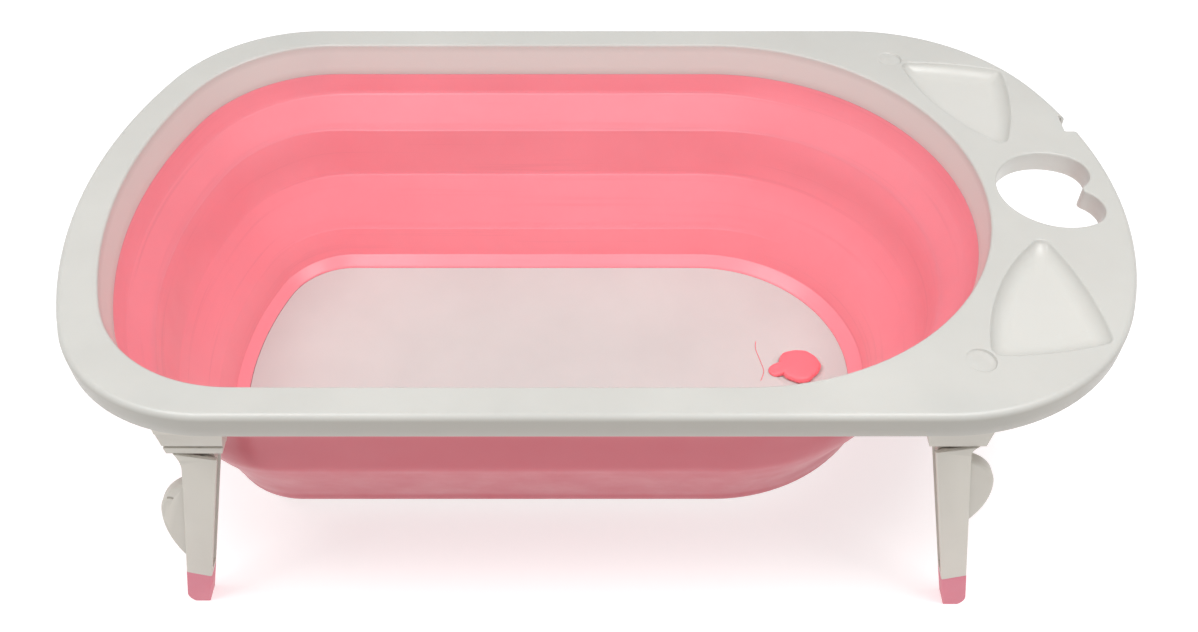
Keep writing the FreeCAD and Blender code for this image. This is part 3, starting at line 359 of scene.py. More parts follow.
def plain_mesh(piece):
    """The piece's mesh with its modifiers applied. The piece itself is removed."""
    bpy.context.view_layer.update()
    graph = bpy.context.evaluated_depsgraph_get()
    data = bpy.data.meshes.new_from_object(piece.evaluated_get(graph), depsgraph=graph)
    old = piece.data
    bpy.data.objects.remove(piece)
    bpy.data.meshes.remove(old)
    return data


def with_modifiers(name, data, *wanted):
    """The mesh after these modifiers, each given as (type, settings)."""
    piece = linked(name, data)
    for kind, settings in wanted:
        modifier = piece.modifiers.new(kind.title(), kind)
        for key, value in settings.items():
            setattr(modifier, key, value)
    return plain_mesh(piece)


def box_mesh(low, high, bevel=0.0):
    """A closed box between two corners, its edges rounded by bevel."""
    shape = bmesh.new()
    size = Vector(high) - Vector(low)
    place = Matrix.Translation((Vector(high) + Vector(low)) / 2) @ Matrix.Diagonal((*size, 1))
    bmesh.ops.create_cube(shape, size=1, matrix=place)
    if bevel:
        bmesh.ops.bevel(shape, geom=shape.edges[:], offset=bevel, segments=2, affect="EDGES",
                        profile=0.5)
    return mesh_from("box", shape)


def cut_away(name, data, cutter):
    """The mesh less the cutter."""
    tool = linked("cutter", cutter)
    settings = {"operation": "DIFFERENCE", "solver": "EXACT", "object": tool}
    data = with_modifiers(name, data, ("BOOLEAN", settings))
    bpy.data.objects.remove(tool)
    bpy.data.meshes.remove(cutter)
    return data


def merged(node):
    """A copy of a frame node's mesh, its loose triangles merged, to work on."""
    shape = bmesh.new()
    shape.from_mesh(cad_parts[node].data)
    bmesh.ops.remove_doubles(shape, verts=shape.verts, dist=MERGE_GAP)
    return shape


def frame_mesh(node):
    """A copy of a frame node's mesh with its flat faces whole."""
    shape = merged(node)
    bmesh.ops.dissolve_limit(shape, angle_limit=math.radians(0.6), verts=shape.verts,
                             edges=shape.edges)
    return mesh_from(node, shape)


def island_middles(node):
    """Middle of each separate solid of a frame node, at the height of its lowest point."""
    shape = merged(node)
    left, middles = set(shape.verts), []
    while left:
        group, open_ends = set(), [left.pop()]
        while open_ends:
            vert = open_ends.pop()
            group.add(vert)
            near = {edge.other_vert(vert) for edge in vert.link_edges} & left
            left -= near
            open_ends += near
        lows = [min(vert.co[i] for vert in group) for i in range(3)]
        highs = [max(vert.co[i] for vert in group) for i in range(3)]
        middles.append(Vector(((lows[0] + highs[0]) / 2, (lows[1] + highs[1]) / 2, lows[2])))
    shape.free()
    return sorted(middles, key=lambda spot: (round(spot.x, 4), round(spot.y, 4)))


# ---------------------------------------------------------------- geometry nodes for what repeats

CYLINDER_SIDES = 28


def repeat_tree(name, shape_node, inputs, material):
    """Node group that puts one primitive on each point. inputs gives its sockets: name -> value."""
    tree = bpy.data.node_groups.new(name, "GeometryNodeTree")
    tree.interface.new_socket("Geometry", in_out="INPUT", socket_type="NodeSocketGeometry")
    tree.interface.new_socket("Geometry", in_out="OUTPUT", socket_type="NodeSocketGeometry")
    for key, value in inputs.items():
        kind = "NodeSocketVector" if isinstance(value, tuple) else "NodeSocketFloat"
        tree.interface.new_socket(key, in_out="INPUT", socket_type=kind)
    start = tree.nodes.new("NodeGroupInput")
    shape = tree.nodes.new(shape_node)
    if shape_node == "GeometryNodeMeshCylinder":
        shape.inputs["Vertices"].default_value = CYLINDER_SIDES
    copies = tree.nodes.new("GeometryNodeInstanceOnPoints")
    real = tree.nodes.new("GeometryNodeRealizeInstances")
    paint = tree.nodes.new("GeometryNodeSetMaterial")
    paint.inputs["Material"].default_value = material
    end = tree.nodes.new("NodeGroupOutput")
    for key in inputs:
        tree.links.new(start.outputs[key], shape.inputs[key])
    tree.links.new(start.outputs["Geometry"], copies.inputs["Points"])
    tree.links.new(shape.outputs["Mesh"], copies.inputs["Instance"])
    tree.links.new(copies.outputs["Instances"], real.inputs["Geometry"])
    tree.links.new(real.outputs["Geometry"], paint.inputs["Geometry"])
    tree.links.new(paint.outputs["Geometry"], end.inputs["Geometry"])
    return tree


def repeated(name, shape_node, points, inputs, material):
    """Plain mesh of one primitive repeated at the points."""
    data = bpy.data.meshes.new(name)
    data.from_pydata([tuple(point) for point in points], [], [])
    holder = linked(name, data)
    tree = repeat_tree(name, shape_node, inputs, material)
    modifier = holder.modifiers.new(name, "NODES")
    modifier.node_group = tree
    for item in tree.interface.items_tree:
        if item.in_out == "INPUT" and item.name in inputs:
            modifier[item.identifier] = inputs[item.name]
    return plain_mesh(holder)


# ---------------------------------------------------------------- materials

PAINTED_SHADE_AND_LIGHT = "painted_shade_and_light"  # mesh attribute of painted shade and light: from -1, where a surface takes painted shade, to +1, where it takes painted light
PAINTED_SHADE_SHARES = (0.70, 0.68, 0.65)  # share of each channel that painted shade leaves at -1
# Deeper painted shade for the soft wall's outside.
PAINTED_SHADE_SHARES_WALL = (0.52, 0.31, 0.35)
PAINTED_LIGHT_GAIN = 1.27  # share of each channel that painted light gives at +1
CLOUD_WAVES = 9.0  # fineness of each pattern on a surface, in waves per metre
SPECK_WAVES = 260.0
GLOSS_WAVES = 34.0
SWAY_WAVES = 16.0
SWAY_HEIGHT = 0.6 * MM
COAT_ROUGHNESS = 0.22
PAINTED_CREASE_SHADE = 0.80  # share of the colour that is left in a crease: painted shade
PINK_RADIUS = (0.012, 0.004, 0.004)  # how far each channel of light travels in the pink elastomer


def noise_field(tree, coordinates, scale, detail, stretch=(1, 1, 1), seed=0.0):
    """Noise on Object coordinates, stretched along the axes."""
    mapping = tree.nodes.new("ShaderNodeMapping")
    mapping.inputs["Scale"].default_value = stretch
    mapping.inputs["Location"].default_value = (seed, seed * 1.7, seed * 2.3)
    field = tree.nodes.new("ShaderNodeTexNoise")
    field.inputs["Scale"].default_value = scale
    field.inputs["Detail"].default_value = detail
    field.inputs["Roughness"].default_value = 0.55
    tree.links.new(coordinates, mapping.inputs["Vector"])
    tree.links.new(mapping.outputs["Vector"], field.inputs["Vector"])
    return field.outputs["Fac"]


def ranged(tree, value, low, high, to_low, to_high):
    """The value, taken from the first range to the second and kept within it."""
    node = tree.nodes.new("ShaderNodeMapRange")
    for key, number in (("From Min", low), ("From Max", high), ("To Min", to_low), ("To Max", to_high)):
        node.inputs[key].default_value = number
    tree.links.new(value, node.inputs["Value"])
    return node.outputs["Result"]


def tinted(tree, factor, first, second):
    """Colour that goes from first to second with the factor. Either may be a colour or a socket."""
    node = tree.nodes.new("ShaderNodeMix")
    node.data_type = "RGBA"
    for key, value in (("A", first), ("B", second)):
        socket = next(s for s in node.inputs if s.name == key and s.type == "RGBA")
        if isinstance(value, tuple):
            socket.default_value = (*value, 1.0)
        else:
            tree.links.new(value, socket)
    tree.links.new(factor, next(s for s in node.inputs if s.name == "Factor" and s.type == "VALUE"))
    return next(s for s in node.outputs if s.type == "RGBA")


def scaled(value, share):
    """The colour times the share, in range."""
    return tuple(min(1.0, channel * share) for channel in value)


def moulding(name, base, rough, grain, edge_wear_and_highlight=1.12, subsurface=0.0, radius=(0.01, 0.01, 0.01),
             flow=None, metallic=0.0, coat=0.0, dulled=PAINTED_SHADE_SHARES):
    """Moulded surface: cloudy colour, uneven gloss, fine grain, edges lighter by wear and painted highlight,
    painted shade in creases, painted shade and light from a mesh attribute, and optional flow lines.

    rough is (low, high); grain is (waves per metre, height); flow is (stretch, strength of the lines)."""
    base = tuple(base)
    material = bpy.data.materials.new(name)
    material.use_nodes = True
    tree = material.node_tree
    shader = tree.nodes["Principled BSDF"]
    shader.inputs["Metallic"].default_value = metallic
    shader.inputs["Subsurface Weight"].default_value = subsurface
    shader.inputs["Subsurface Radius"].default_value = radius
    shader.inputs["Subsurface Scale"].default_value = 1.0
    shader.inputs["Coat Weight"].default_value = coat
    shader.inputs["Coat Roughness"].default_value = COAT_ROUGHNESS
    place = tree.nodes.new("ShaderNodeTexCoord").outputs["Object"]

    clouds = noise_field(tree, place, CLOUD_WAVES, 4.0)
    shade = tinted(tree, ranged(tree, clouds, 0.3, 0.7, 0.0, 1.0), scaled(base, 0.955),
                   scaled(base, 1.03))
    specks = noise_field(tree, place, SPECK_WAVES, 2.0, seed=3.0)
    shade = tinted(tree, ranged(tree, specks, 0.62, 0.8, 0.0, 0.12), shade, scaled(base, 0.88))
    bump_height = noise_field(tree, place, grain[0], 3.0, seed=5.0)
    gloss = noise_field(tree, place, GLOSS_WAVES, 5.0, seed=7.0)
    if flow is not None:
        lines = noise_field(tree, place, 1.0, 3.0, stretch=flow[0], seed=1.0)
        shade = tinted(tree, ranged(tree, lines, 0.58, 0.72, 0.0, flow[1]), shade, scaled(base, 0.84))
    # Painted shade at -1 and painted light at +1, read from the mesh attribute.
    painted_shade_light_node = tree.nodes.new("ShaderNodeAttribute")
    painted_shade_light_node.attribute_name = PAINTED_SHADE_AND_LIGHT
    dull = ranged(tree, painted_shade_light_node.outputs["Fac"], 0.0, -1.0, 0.0, 1.0)
    shade = tinted(tree, dull, shade, tuple(channel * share for channel, share in zip(base, dulled)))
    painted_light_factor = ranged(tree, painted_shade_light_node.outputs["Fac"], 0.0, 1.0, 0.0, 1.0)
    shade = tinted(tree, painted_light_factor, shade, scaled(base, PAINTED_LIGHT_GAIN))
    edges = tree.nodes.new("ShaderNodeNewGeometry").outputs["Pointiness"]
    # Convex edges lighter: rubbed wear and painted highlight.
    shade = tinted(tree, ranged(tree, edges, 0.52, 0.60, 0.0, 0.7), shade, scaled(base, edge_wear_and_highlight))
    # Concave creases darker: painted shade.
    shade = tinted(tree, ranged(tree, edges, 0.49, 0.43, 0.0, 0.75), shade,
                   scaled(base, PAINTED_CREASE_SHADE))
    tree.links.new(shade, shader.inputs["Base Color"])
    tree.links.new(ranged(tree, gloss, 0.3, 0.7, rough[0], rough[1]), shader.inputs["Roughness"])

    bump = tree.nodes.new("ShaderNodeBump")
    bump.inputs["Strength"].default_value = 0.6
    bump.inputs["Distance"].default_value = grain[1]
    tree.links.new(bump_height, bump.inputs["Height"])
    sway = tree.nodes.new("ShaderNodeBump")
    sway.inputs["Strength"].default_value = 0.5
    sway.inputs["Distance"].default_value = SWAY_HEIGHT
    tree.links.new(noise_field(tree, place, SWAY_WAVES, 2.0, seed=9.0), sway.inputs["Height"])
    tree.links.new(sway.outputs["Normal"], bump.inputs["Normal"])
    tree.links.new(bump.outputs["Normal"], shader.inputs["Normal"])
    return material


def material_for(slot):
    """The finish of a material slot of the record, made once."""
    name = f"bath_{slot}"
    if name in bpy.data.materials:
        return bpy.data.materials[name]
    colours = bpy.context.scene.bath_colours
    makers = {
        "white_plastic": lambda: moulding(
            name, colours.rim, (0.30, 0.42), (620.0, 0.00006), edge_wear_and_highlight=1.08, subsurface=0.12,
            radius=(0.010, 0.008, 0.007), coat=0.05),
        "leg_plastic": lambda: moulding(
            name, colours.leg, (0.42, 0.55), (760.0, 0.00009), edge_wear_and_highlight=1.12, subsurface=0.08,
            radius=(0.006, 0.005, 0.004)),
        "floor_plastic": lambda: moulding(
            name, colours.floor, (0.46, 0.60), (540.0, 0.00010), edge_wear_and_highlight=1.05, subsurface=0.08,
            radius=(0.008, 0.006, 0.005)),
        "pink_wall": lambda: moulding(
            name, colours.wall, (0.30, 0.42), (520.0, 0.00004), edge_wear_and_highlight=1.06, subsurface=0.22,
            radius=PINK_RADIUS, flow=((4.0, 4.0, 190.0), 0.45), coat=0.08, dulled=PAINTED_SHADE_SHARES_WALL),
        "pink_foot": lambda: moulding(
            name, colours.foot, (0.50, 0.64), (700.0, 0.00010), edge_wear_and_highlight=1.12, subsurface=0.10,
            radius=PINK_RADIUS),
        "pink_plug": lambda: moulding(
            name, colours.plug, (0.36, 0.50), (600.0, 0.00008), edge_wear_and_highlight=1.08, subsurface=0.20,
            radius=PINK_RADIUS),
        "steel": lambda: moulding(
            name, colours.steel, (0.26, 0.40), (1400.0, 0.00003), edge_wear_and_highlight=1.2, metallic=1.0),
        "pin_steel": lambda: moulding(
            name, colours.steel, (0.18, 0.30), (1800.0, 0.00002), edge_wear_and_highlight=1.2, metallic=1.0),
    }
    return makers[slot]()


# ---------------------------------------------------------------- pieces

class BathRim(bpy.types.Operator):
    """Rim moulding with its collar, hanging hole, soap dishes, finger scoops and edge notch"""

    bl_idname = "bath.rim"
    bl_label = "Rim"

    NOTCH_Y = (75 * MM, 97 * MM)
    NOTCH_DEPTH = 21 * MM
    DIMPLE_SPOT = (150 * MM, 50.5 * MM)  # in from the platform's end and from the side
    BOSS_RADIUS = 4.2 * MM
    BOSS_TOP = 3 * MM
    BOSS_FOOT = 12 * MM
    # Soap dish from its lip down, above and below: (shrink, corner radius in mm, share of the depth).
    DISH_ABOVE = ((0, 8.8, 0), (0, 8.4, 0), (0, 7.9, 0.02), (0, 7.4, 0.07), (0, 7.0, 0.16),
                  (0.02, 6.8, 0.30), (0.06, 6.6, 0.48), (0.11, 6.4, 0.66), (0.18, 6.2, 0.82),
                  (0.27, 6.0, 0.93), (0.38, 5.8, 0.985), (0.50, 5.6, 1.0))
    DISH_BELOW = ((0, 9.8, 0), (0, 9.4, 0), (0, 9.0, 0.12), (0.02, 8.8, 0.30), (0.07, 8.6, 0.52),
                  (0.13, 8.4, 0.72), (0.22, 8.2, 0.89), (0.34, 8.0, 0.97), (0.48, 7.8, 1.0))
    # Finger scoop from its lip in: (share of the radius, share of the depth).
    SCOOP = ((1.025, 0), (1.0, 0.02), (0.965, 0.45), (0.93, 0.85), (0.86, 1.0), (0.6, 0.86),
             (0.3, 0.62))
    SCOOP_DEPTH = 2 * MM
    SCOOP_STEPS = 40
    SCOOP_TURN = 0.35  # how far the deepest side is turned from the platform's end
    PAINTED_REACH = 9 * MM  # distance from the outer edge, which takes painted shade, and from the opening's edge, which takes painted light
    PAINTED_FROM = 1.2 * MM  # depth below the top at which that painted shade and light starts
    PAINTED_FADE = 3 * MM
    # Painted light in the soap dishes: the depth over which it fades in, and its strength.
    DISH_FADE = 4 * MM
    DISH_PAINTED_LIGHT = 0.3

    def outer_rings(self, shell, rim):
        """The rounded outer edge, down the skirt's outside and up its inside to the top plate."""
        skirt, inner, soft = rim.skirt_depth, rim.skirt, 0.8 * MM
        profile = [(rim.edge + 0.5 * MM, 0)] + round_over(rim.edge, 8)
        profile += [(0, skirt / 2), (0, skirt - soft), (soft * 0.3, skirt - soft * 0.3), (soft, skirt),
                    (inner - soft, skirt), (inner - soft * 0.3, skirt - soft * 0.3),
                    (inner, skirt - soft), (inner, rim.plate + 1 * MM),
                    (inner + 0.3 * MM, rim.plate + 0.25 * MM), (inner + 1 * MM, rim.plate),
                    (inner + 1.5 * MM, rim.plate)]
        return shell.skin([shell.ring(rim_loop(inset), depth) for inset, depth in profile])

    def collar_rings(self, shell, rim, wall):
        """The opening's edge, down the leaning collar and up its back to the top plate."""
        lean = wall.inset_collar / DEPTH_COLLAR
        soft = 0.5 * MM
        profile = [(0, rim.lip + 0.8 * MM, 0)]
        profile += [(0, outward, depth) for outward, depth in round_over(rim.lip)]
        for depth in (8 * MM, 15 * MM, 22 * MM, DEPTH_COLLAR - soft):
            profile.append((lean * depth, 0, depth))
        low = wall.inset_collar
        profile += [(low, soft * 0.3, DEPTH_COLLAR - soft * 0.3), (low, soft, DEPTH_COLLAR),
                    (low, rim.collar - soft, DEPTH_COLLAR),
                    (low, rim.collar - soft * 0.3, DEPTH_COLLAR - soft * 0.3),
                    (lean * (DEPTH_COLLAR - soft), rim.collar, DEPTH_COLLAR - soft),
                    (lean * rim.plate * 2, rim.collar, rim.plate * 2),
                    (lean * rim.plate, rim.collar + 0.6 * MM, rim.plate + 0.6 * MM),
                    (lean * rim.plate, rim.collar + 2 * MM, rim.plate),
                    (lean * rim.plate, rim.collar + 2.6 * MM, rim.plate)]
        rings = [shell.ring(well_loop(inset, outward), depth) for inset, outward, depth in profile]
        return shell.skin(rings)

    def heart_rings(self, shell, rim):
        """The hanging hole's edge, down its wall and up the back of it."""
        lip, soft = 1.6 * MM, 0.5 * MM
        profile = [(lip + 0.8 * MM, 0)] + round_over(lip)
        profile += [(0, rim.heart_depth / 2), (0, rim.heart_depth - soft), (soft, rim.heart_depth),
                    (rim.pan - soft, rim.heart_depth), (rim.pan, rim.heart_depth - soft),
                    (rim.pan, rim.plate + 1 * MM), (rim.pan + 0.3 * MM, rim.plate + 0.3 * MM),
                    (rim.pan + 1 * MM, rim.plate), (rim.pan + 1.4 * MM, rim.plate)]
        return shell.skin([shell.ring(heart_loop(grow), depth) for grow, depth in profile])

    def dish(self, shell, rim, side):
        """Soap dish: returns its lip above and its pan's root below."""
        depth = rim.dish_depth
        rings = [shell.ring(dish_loop(side, shrink, corner * MM), share * depth)
                 for shrink, corner, share in self.DISH_ABOVE]
        lip, bed = shell.skin(rings)
        shell.fill(bed)
        reach = depth + rim.pan - rim.plate
        rings = [shell.ring(dish_loop(side, shrink, corner * MM), rim.plate + share * reach)
                 for shrink, corner, share in self.DISH_BELOW]
        root, under = shell.skin(rings)
        shell.fill(under)
        return lip, root

    def scoop(self, shell, rim, side):
        """Finger scoop that is deepest towards the dish and runs out on the other side."""
        x = HALF_LENGTH - self.DIMPLE_SPOT[0]
        y = (HALF_WIDTH - self.DIMPLE_SPOT[1]) * side
        rings = []
        for share, drop in self.SCOOP:
            depths = []
            for point in range(self.SCOOP_STEPS):
                turn = 2 * math.pi * point / self.SCOOP_STEPS
                lean = 0.5 + 0.5 * math.cos(turn + self.SCOOP_TURN * side)
                depths.append(self.SCOOP_DEPTH * drop * lean ** 0.8)
            loop = arc(x, y, rim.dimple * share, 0, 2 * math.pi, self.SCOOP_STEPS)
            rings.append(shell.ring(loop, depths))
        lip, bed = shell.skin(rings)
        shell.fill(bed)
        return lip

    def painted_shade_and_light(self):
        """Painted shade down the outer skirt, painted light down the collar and a little painted light in the dishes.
        """
        near = {}
        for side, loop in ((-1, rim_loop(0)), (1, well_loop(0))):
            near[side] = KDTree(len(loop))
            for i, (x, y) in enumerate(loop):
                near[side].insert((x, y, 0), i)
            near[side].balance()

        def value(vert):
            depth = TOP - vert.co.z
            for side in (-1, 1):
                if near[side].find((vert.co.x, vert.co.y, 0))[2] < self.PAINTED_REACH:
                    return side * clamped((depth - self.PAINTED_FROM) / self.PAINTED_FADE)
            return self.DISH_PAINTED_LIGHT * clamped((depth - self.PAINTED_FROM) / self.DISH_FADE)

        return value

    def execute(self, context):
        rim, wall = sizes()
        shell = Shell()
        edge, skirt_root = self.outer_rings(shell, rim)
        lip, collar_root = self.collar_rings(shell, rim, wall)
        heart, heart_root = self.heart_rings(shell, rim)
        dishes = [self.dish(shell, rim, side) for side in (-1, 1)]
        scoops = [self.scoop(shell, rim, side) for side in (-1, 1)]
        shell.fill(edge, lip, heart, *(dish[0] for dish in dishes), *scoops)
        shell.fill(skirt_root, collar_root, heart_root, *(dish[1] for dish in dishes))
        data = shell.closed("rim_shell")

        notch_x = HALF_LENGTH - self.NOTCH_DEPTH
        low, high = self.NOTCH_Y
        foot = TOP - rim.skirt_depth
        cutter = box_mesh((notch_x, low, foot - 5 * MM), (HALF_LENGTH + 5 * MM, high, TOP + 5 * MM),
                          1 * MM)
        data = cut_away("rim_shell", data, cutter)
        shell = Shell()
        shell.add(data)
        shell.add(box_mesh((notch_x - rim.skirt, low - 1 * MM, foot + 0.5 * MM),
                           (notch_x + 0.02 * MM, high + 1 * MM, TOP - rim.plate / 2), 0.4 * MM))
        white = material_for("white_plastic")
        spots = [(spot.x, spot.y, TOP - (self.BOSS_TOP + self.BOSS_FOOT) / 2)
                 for spot in island_middles("bracket_screws")]
        shell.add(repeated("rim_bosses", "GeometryNodeMeshCylinder", spots,
                           {"Radius": self.BOSS_RADIUS, "Depth": self.BOSS_FOOT - self.BOSS_TOP}, white))
        # Painted shade down the skirt, painted light down the collar and in the dishes.
        piece = shell.finish("rim_moulding", white, 40.0, self.painted_shade_and_light())
        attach(piece, "root")
        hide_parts("rim_frame")
        return {"FINISHED"}


def soften(points, radius, steps=5):
    """Polyline with each inner corner rounded."""
    points = [Vector(point) for point in points]
    smooth = [points[0]]
    for before, corner, after in zip(points, points[1:], points[2:]):
        reach = min(radius, (before - corner).length * 0.45, (after - corner).length * 0.45)
        start = corner + (before - corner).normalized() * reach
        end = corner + (after - corner).normalized() * reach
        for i in range(steps + 1):
            share = i / steps
            smooth.append(start.lerp(corner, share).lerp(corner.lerp(end, share), share))
    smooth.append(points[-1])
    return smooth


def walk(points, spacing, fine_at, fine):
    """Points along the polyline at this spacing, closer together near the fine_at points."""
    lengths = [0.0]
    for first, second in zip(points, points[1:]):
        lengths.append(lengths[-1] + (second - first).length)
    marks = []
    for target in fine_at:
        nearest = min(range(len(points)), key=lambda i: (points[i] - target).length)
        marks.append(lengths[nearest])
    stops, here = [], 0.0
    while here < lengths[-1] - fine / 2:
        stops.append(here)
        near = min((abs(here - mark) for mark in marks), default=spacing * 4)
        here += fine if near < fine * 6 else spacing
    stops.append(lengths[-1])
    walked, i = [], 0
    for stop in stops:
        while i < len(lengths) - 2 and lengths[i + 1] < stop:
            i += 1
        span = max(lengths[i + 1] - lengths[i], 1e-9)
        walked.append(points[i].lerp(points[i + 1], min(1.0, (stop - lengths[i]) / span)))
    return walked


class BathWall(bpy.types.Operator):
    """Soft folding wall in two lengths that meet at the crease above the middle band"""

    bl_idname = "bath.wall"
    bl_label = "Soft wall"

    FADE_PLAIN = 215 * MM  # distance from the middle where the folds start to fade, at the plain end
    FADE_PLATFORM = 95 * MM
    FADE_LENGTH = 95 * MM
    FADE_SHARE = (0.62, 0.85)  # how much of the folds is lost at the plain end and the platform end
    FADE_TOP = 14 * MM  # the folds stay whole at the collar and at the bead, and fade over these depths
    FADE_FOOT = 22 * MM
    SMOOTHING = 22 * MM  # depth to each side over which a faded wall is averaged
    SMOOTHING_STEPS = 4
    RIPPLE_WAVES = (22, 22, 30)  # in each metre along x, y and the depth
    RIPPLE_TOP = 12 * MM
    RIPPLE_FOOT = 8 * MM
    INNER_ROUND = 2.2 * MM
    OUTER_ROUND = 7 * MM
    SPACING = 4 * MM
    CREASE_SPACING = 0.45 * MM
    TUCK_GAP = 0.4 * MM

    def levels(self, wall):
        """Where the wall changes direction: (inset, depth) of each crease, from the collar down."""
        return [
            (wall.inset_collar, DEPTH_COLLAR),
            (wall.inset_fold_one, DEPTH_FOLD_ONE),
            (wall.inset_band_two, DEPTH_BAND_TWO),
            (wall.inset_fold_two, DEPTH_FOLD_TWO),
            (wall.inset_band_three, DEPTH_BAND_THREE),
            (wall.inset_bead, wall.depth_bead),
            (wall.inset_floor, DEPTH_FLOOR),
        ]

    def creased(self, points, creases, wall):
        """The inner line with a moulded groove at each crease."""
        grooved = []
        for point in points:
            near = min((point - Vector(crease)).length for crease in creases)
            groove = wall.crease * math.exp(-(near / wall.crease_width) ** 2)
            grooved.append(Vector((point.x - groove, point.y)))
        return grooved

    def softened(self, levels, depth):
        """Inset at this depth on a wall whose folds are smoothed out."""
        total, steps = 0.0, self.SMOOTHING_STEPS
        for i in range(-steps, steps + 1):
            here = min(max(depth + self.SMOOTHING * i / steps, levels[0][1]), levels[-2][1])
            for (inset, above), (next_inset, below) in zip(levels, levels[1:-1]):
                if above <= here <= below:
                    total += inset + (next_inset - inset) * (here - above) / (below - above)
                    break
        return total / (2 * steps + 1)

    def fading(self, x, depth, levels):
        """How far the folds have faded at this place: none along the sides, most at the ends."""
        start = self.FADE_PLATFORM if x > 0 else self.FADE_PLAIN
        along = clamped((abs(x) - start) / self.FADE_LENGTH)
        along = along * along * (3 - 2 * along) * (self.FADE_SHARE[1] if x > 0 else self.FADE_SHARE[0])
        top = clamped((depth - levels[0][1]) / self.FADE_TOP)
        foot = clamped((levels[-2][1] - depth) / self.FADE_FOOT)
        return along * top * foot

    def rings(self, shell, line, outward, wall):
        """One ring for each point of the line, with the slight unevenness of a soft moulding."""
        levels = self.levels(wall)
        wave_x, wave_y, wave_z = self.RIPPLE_WAVES
        rings = []
        for point in line:
            loop = well_loop(point.x, outward)
            if point.y < levels[-2][1]:
                plain = well_loop(self.softened(levels, point.y), outward)
                shares = [self.fading(x, point.y, levels) for x, _ in loop]
                loop = [(x + (px - x) * share, y + (py - y) * share)
                        for (x, y), (px, py), share in zip(loop, plain, shares)]
            fade = min(clamped((point.y - DEPTH_COLLAR) / self.RIPPLE_TOP),
                       clamped((DEPTH_FLOOR - point.y) / self.RIPPLE_FOOT))
            uneven = []
            for x, y in loop:
                away = Vector((x, y)).normalized()
                wave = noise.noise(Vector((x * wave_x, y * wave_y, point.y * wave_z)))
                push = wave * wall.ripple * fade
                uneven.append((x + away.x * push, y + away.y * push))
            rings.append(shell.ring(uneven, point.y))
        return rings

    def length_of_wall(self, name, inner, outer, wall):
        """Closed length of wall between an inner and an outer line."""
        shell = Shell()
        inner_rings = self.rings(shell, inner, 0.0, wall)
        inside = len(inner_rings) * len(inner_rings[0])
        outer_rings = self.rings(shell, outer, wall.thickness, wall)
        shell.skin(inner_rings + outer_rings[::-1] + inner_rings[:1])
        # The outer skin's points take -1: painted shade that darkens the tub's outside.
        piece = shell.finish(name, material_for("pink_wall"), 60.0,
                             lambda vert: -float(vert.index >= inside))
        return piece

    def execute(self, context):
        _, wall = sizes()
        levels = self.levels(wall)
        creases = levels[1:-1]
        seam = Vector(levels[2])
        inner = walk(soften(levels, self.INNER_ROUND), self.SPACING, [Vector(crease) for crease in creases],
                     self.CREASE_SPACING)
        inner = self.creased(inner, creases, wall)
        round_from = wall.inset_bead + wall.belly_round - 1 * MM
        belly = [(wall.inset_bead - 1 * MM + depth, DEPTH_BASE - outward)
                 for outward, depth in round_over(wall.belly_round, 8)]
        outer = soften(levels[:5], self.OUTER_ROUND, 8)[:-1]
        outer = walk(outer + [Vector(point) for point in belly], self.SPACING, [], 1 * MM)
        under = DEPTH_FLOOR + wall.tray + self.TUCK_GAP
        tucked = wall.inset_floor + wall.thickness
        tuck = [(round_from, DEPTH_BASE), (round_from, under), (tucked + self.TUCK_GAP, under),
                (tucked + self.TUCK_GAP / 2, DEPTH_FLOOR + 1 * MM)]
        outer += [Vector(point) for point in tuck]

        at = min(range(len(inner)), key=lambda i: (inner[i] - seam).length)
        out_at = min(range(len(outer)), key=lambda i: (outer[i] - seam).length)
        outer[out_at].y = inner[at].y
        upper = self.length_of_wall("soft_wall_upper", inner[:at + 1], outer[:out_at + 1], wall)
        lower = self.length_of_wall("soft_wall_lower", inner[at:], outer[out_at:], wall)
        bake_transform(upper)
        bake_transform(lower)
        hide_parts("wall_upper_band", "wall_upper_fold")
        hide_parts("wall_middle_band", "wall_lower_fold", "wall_lower_band")
        return {"FINISHED"}


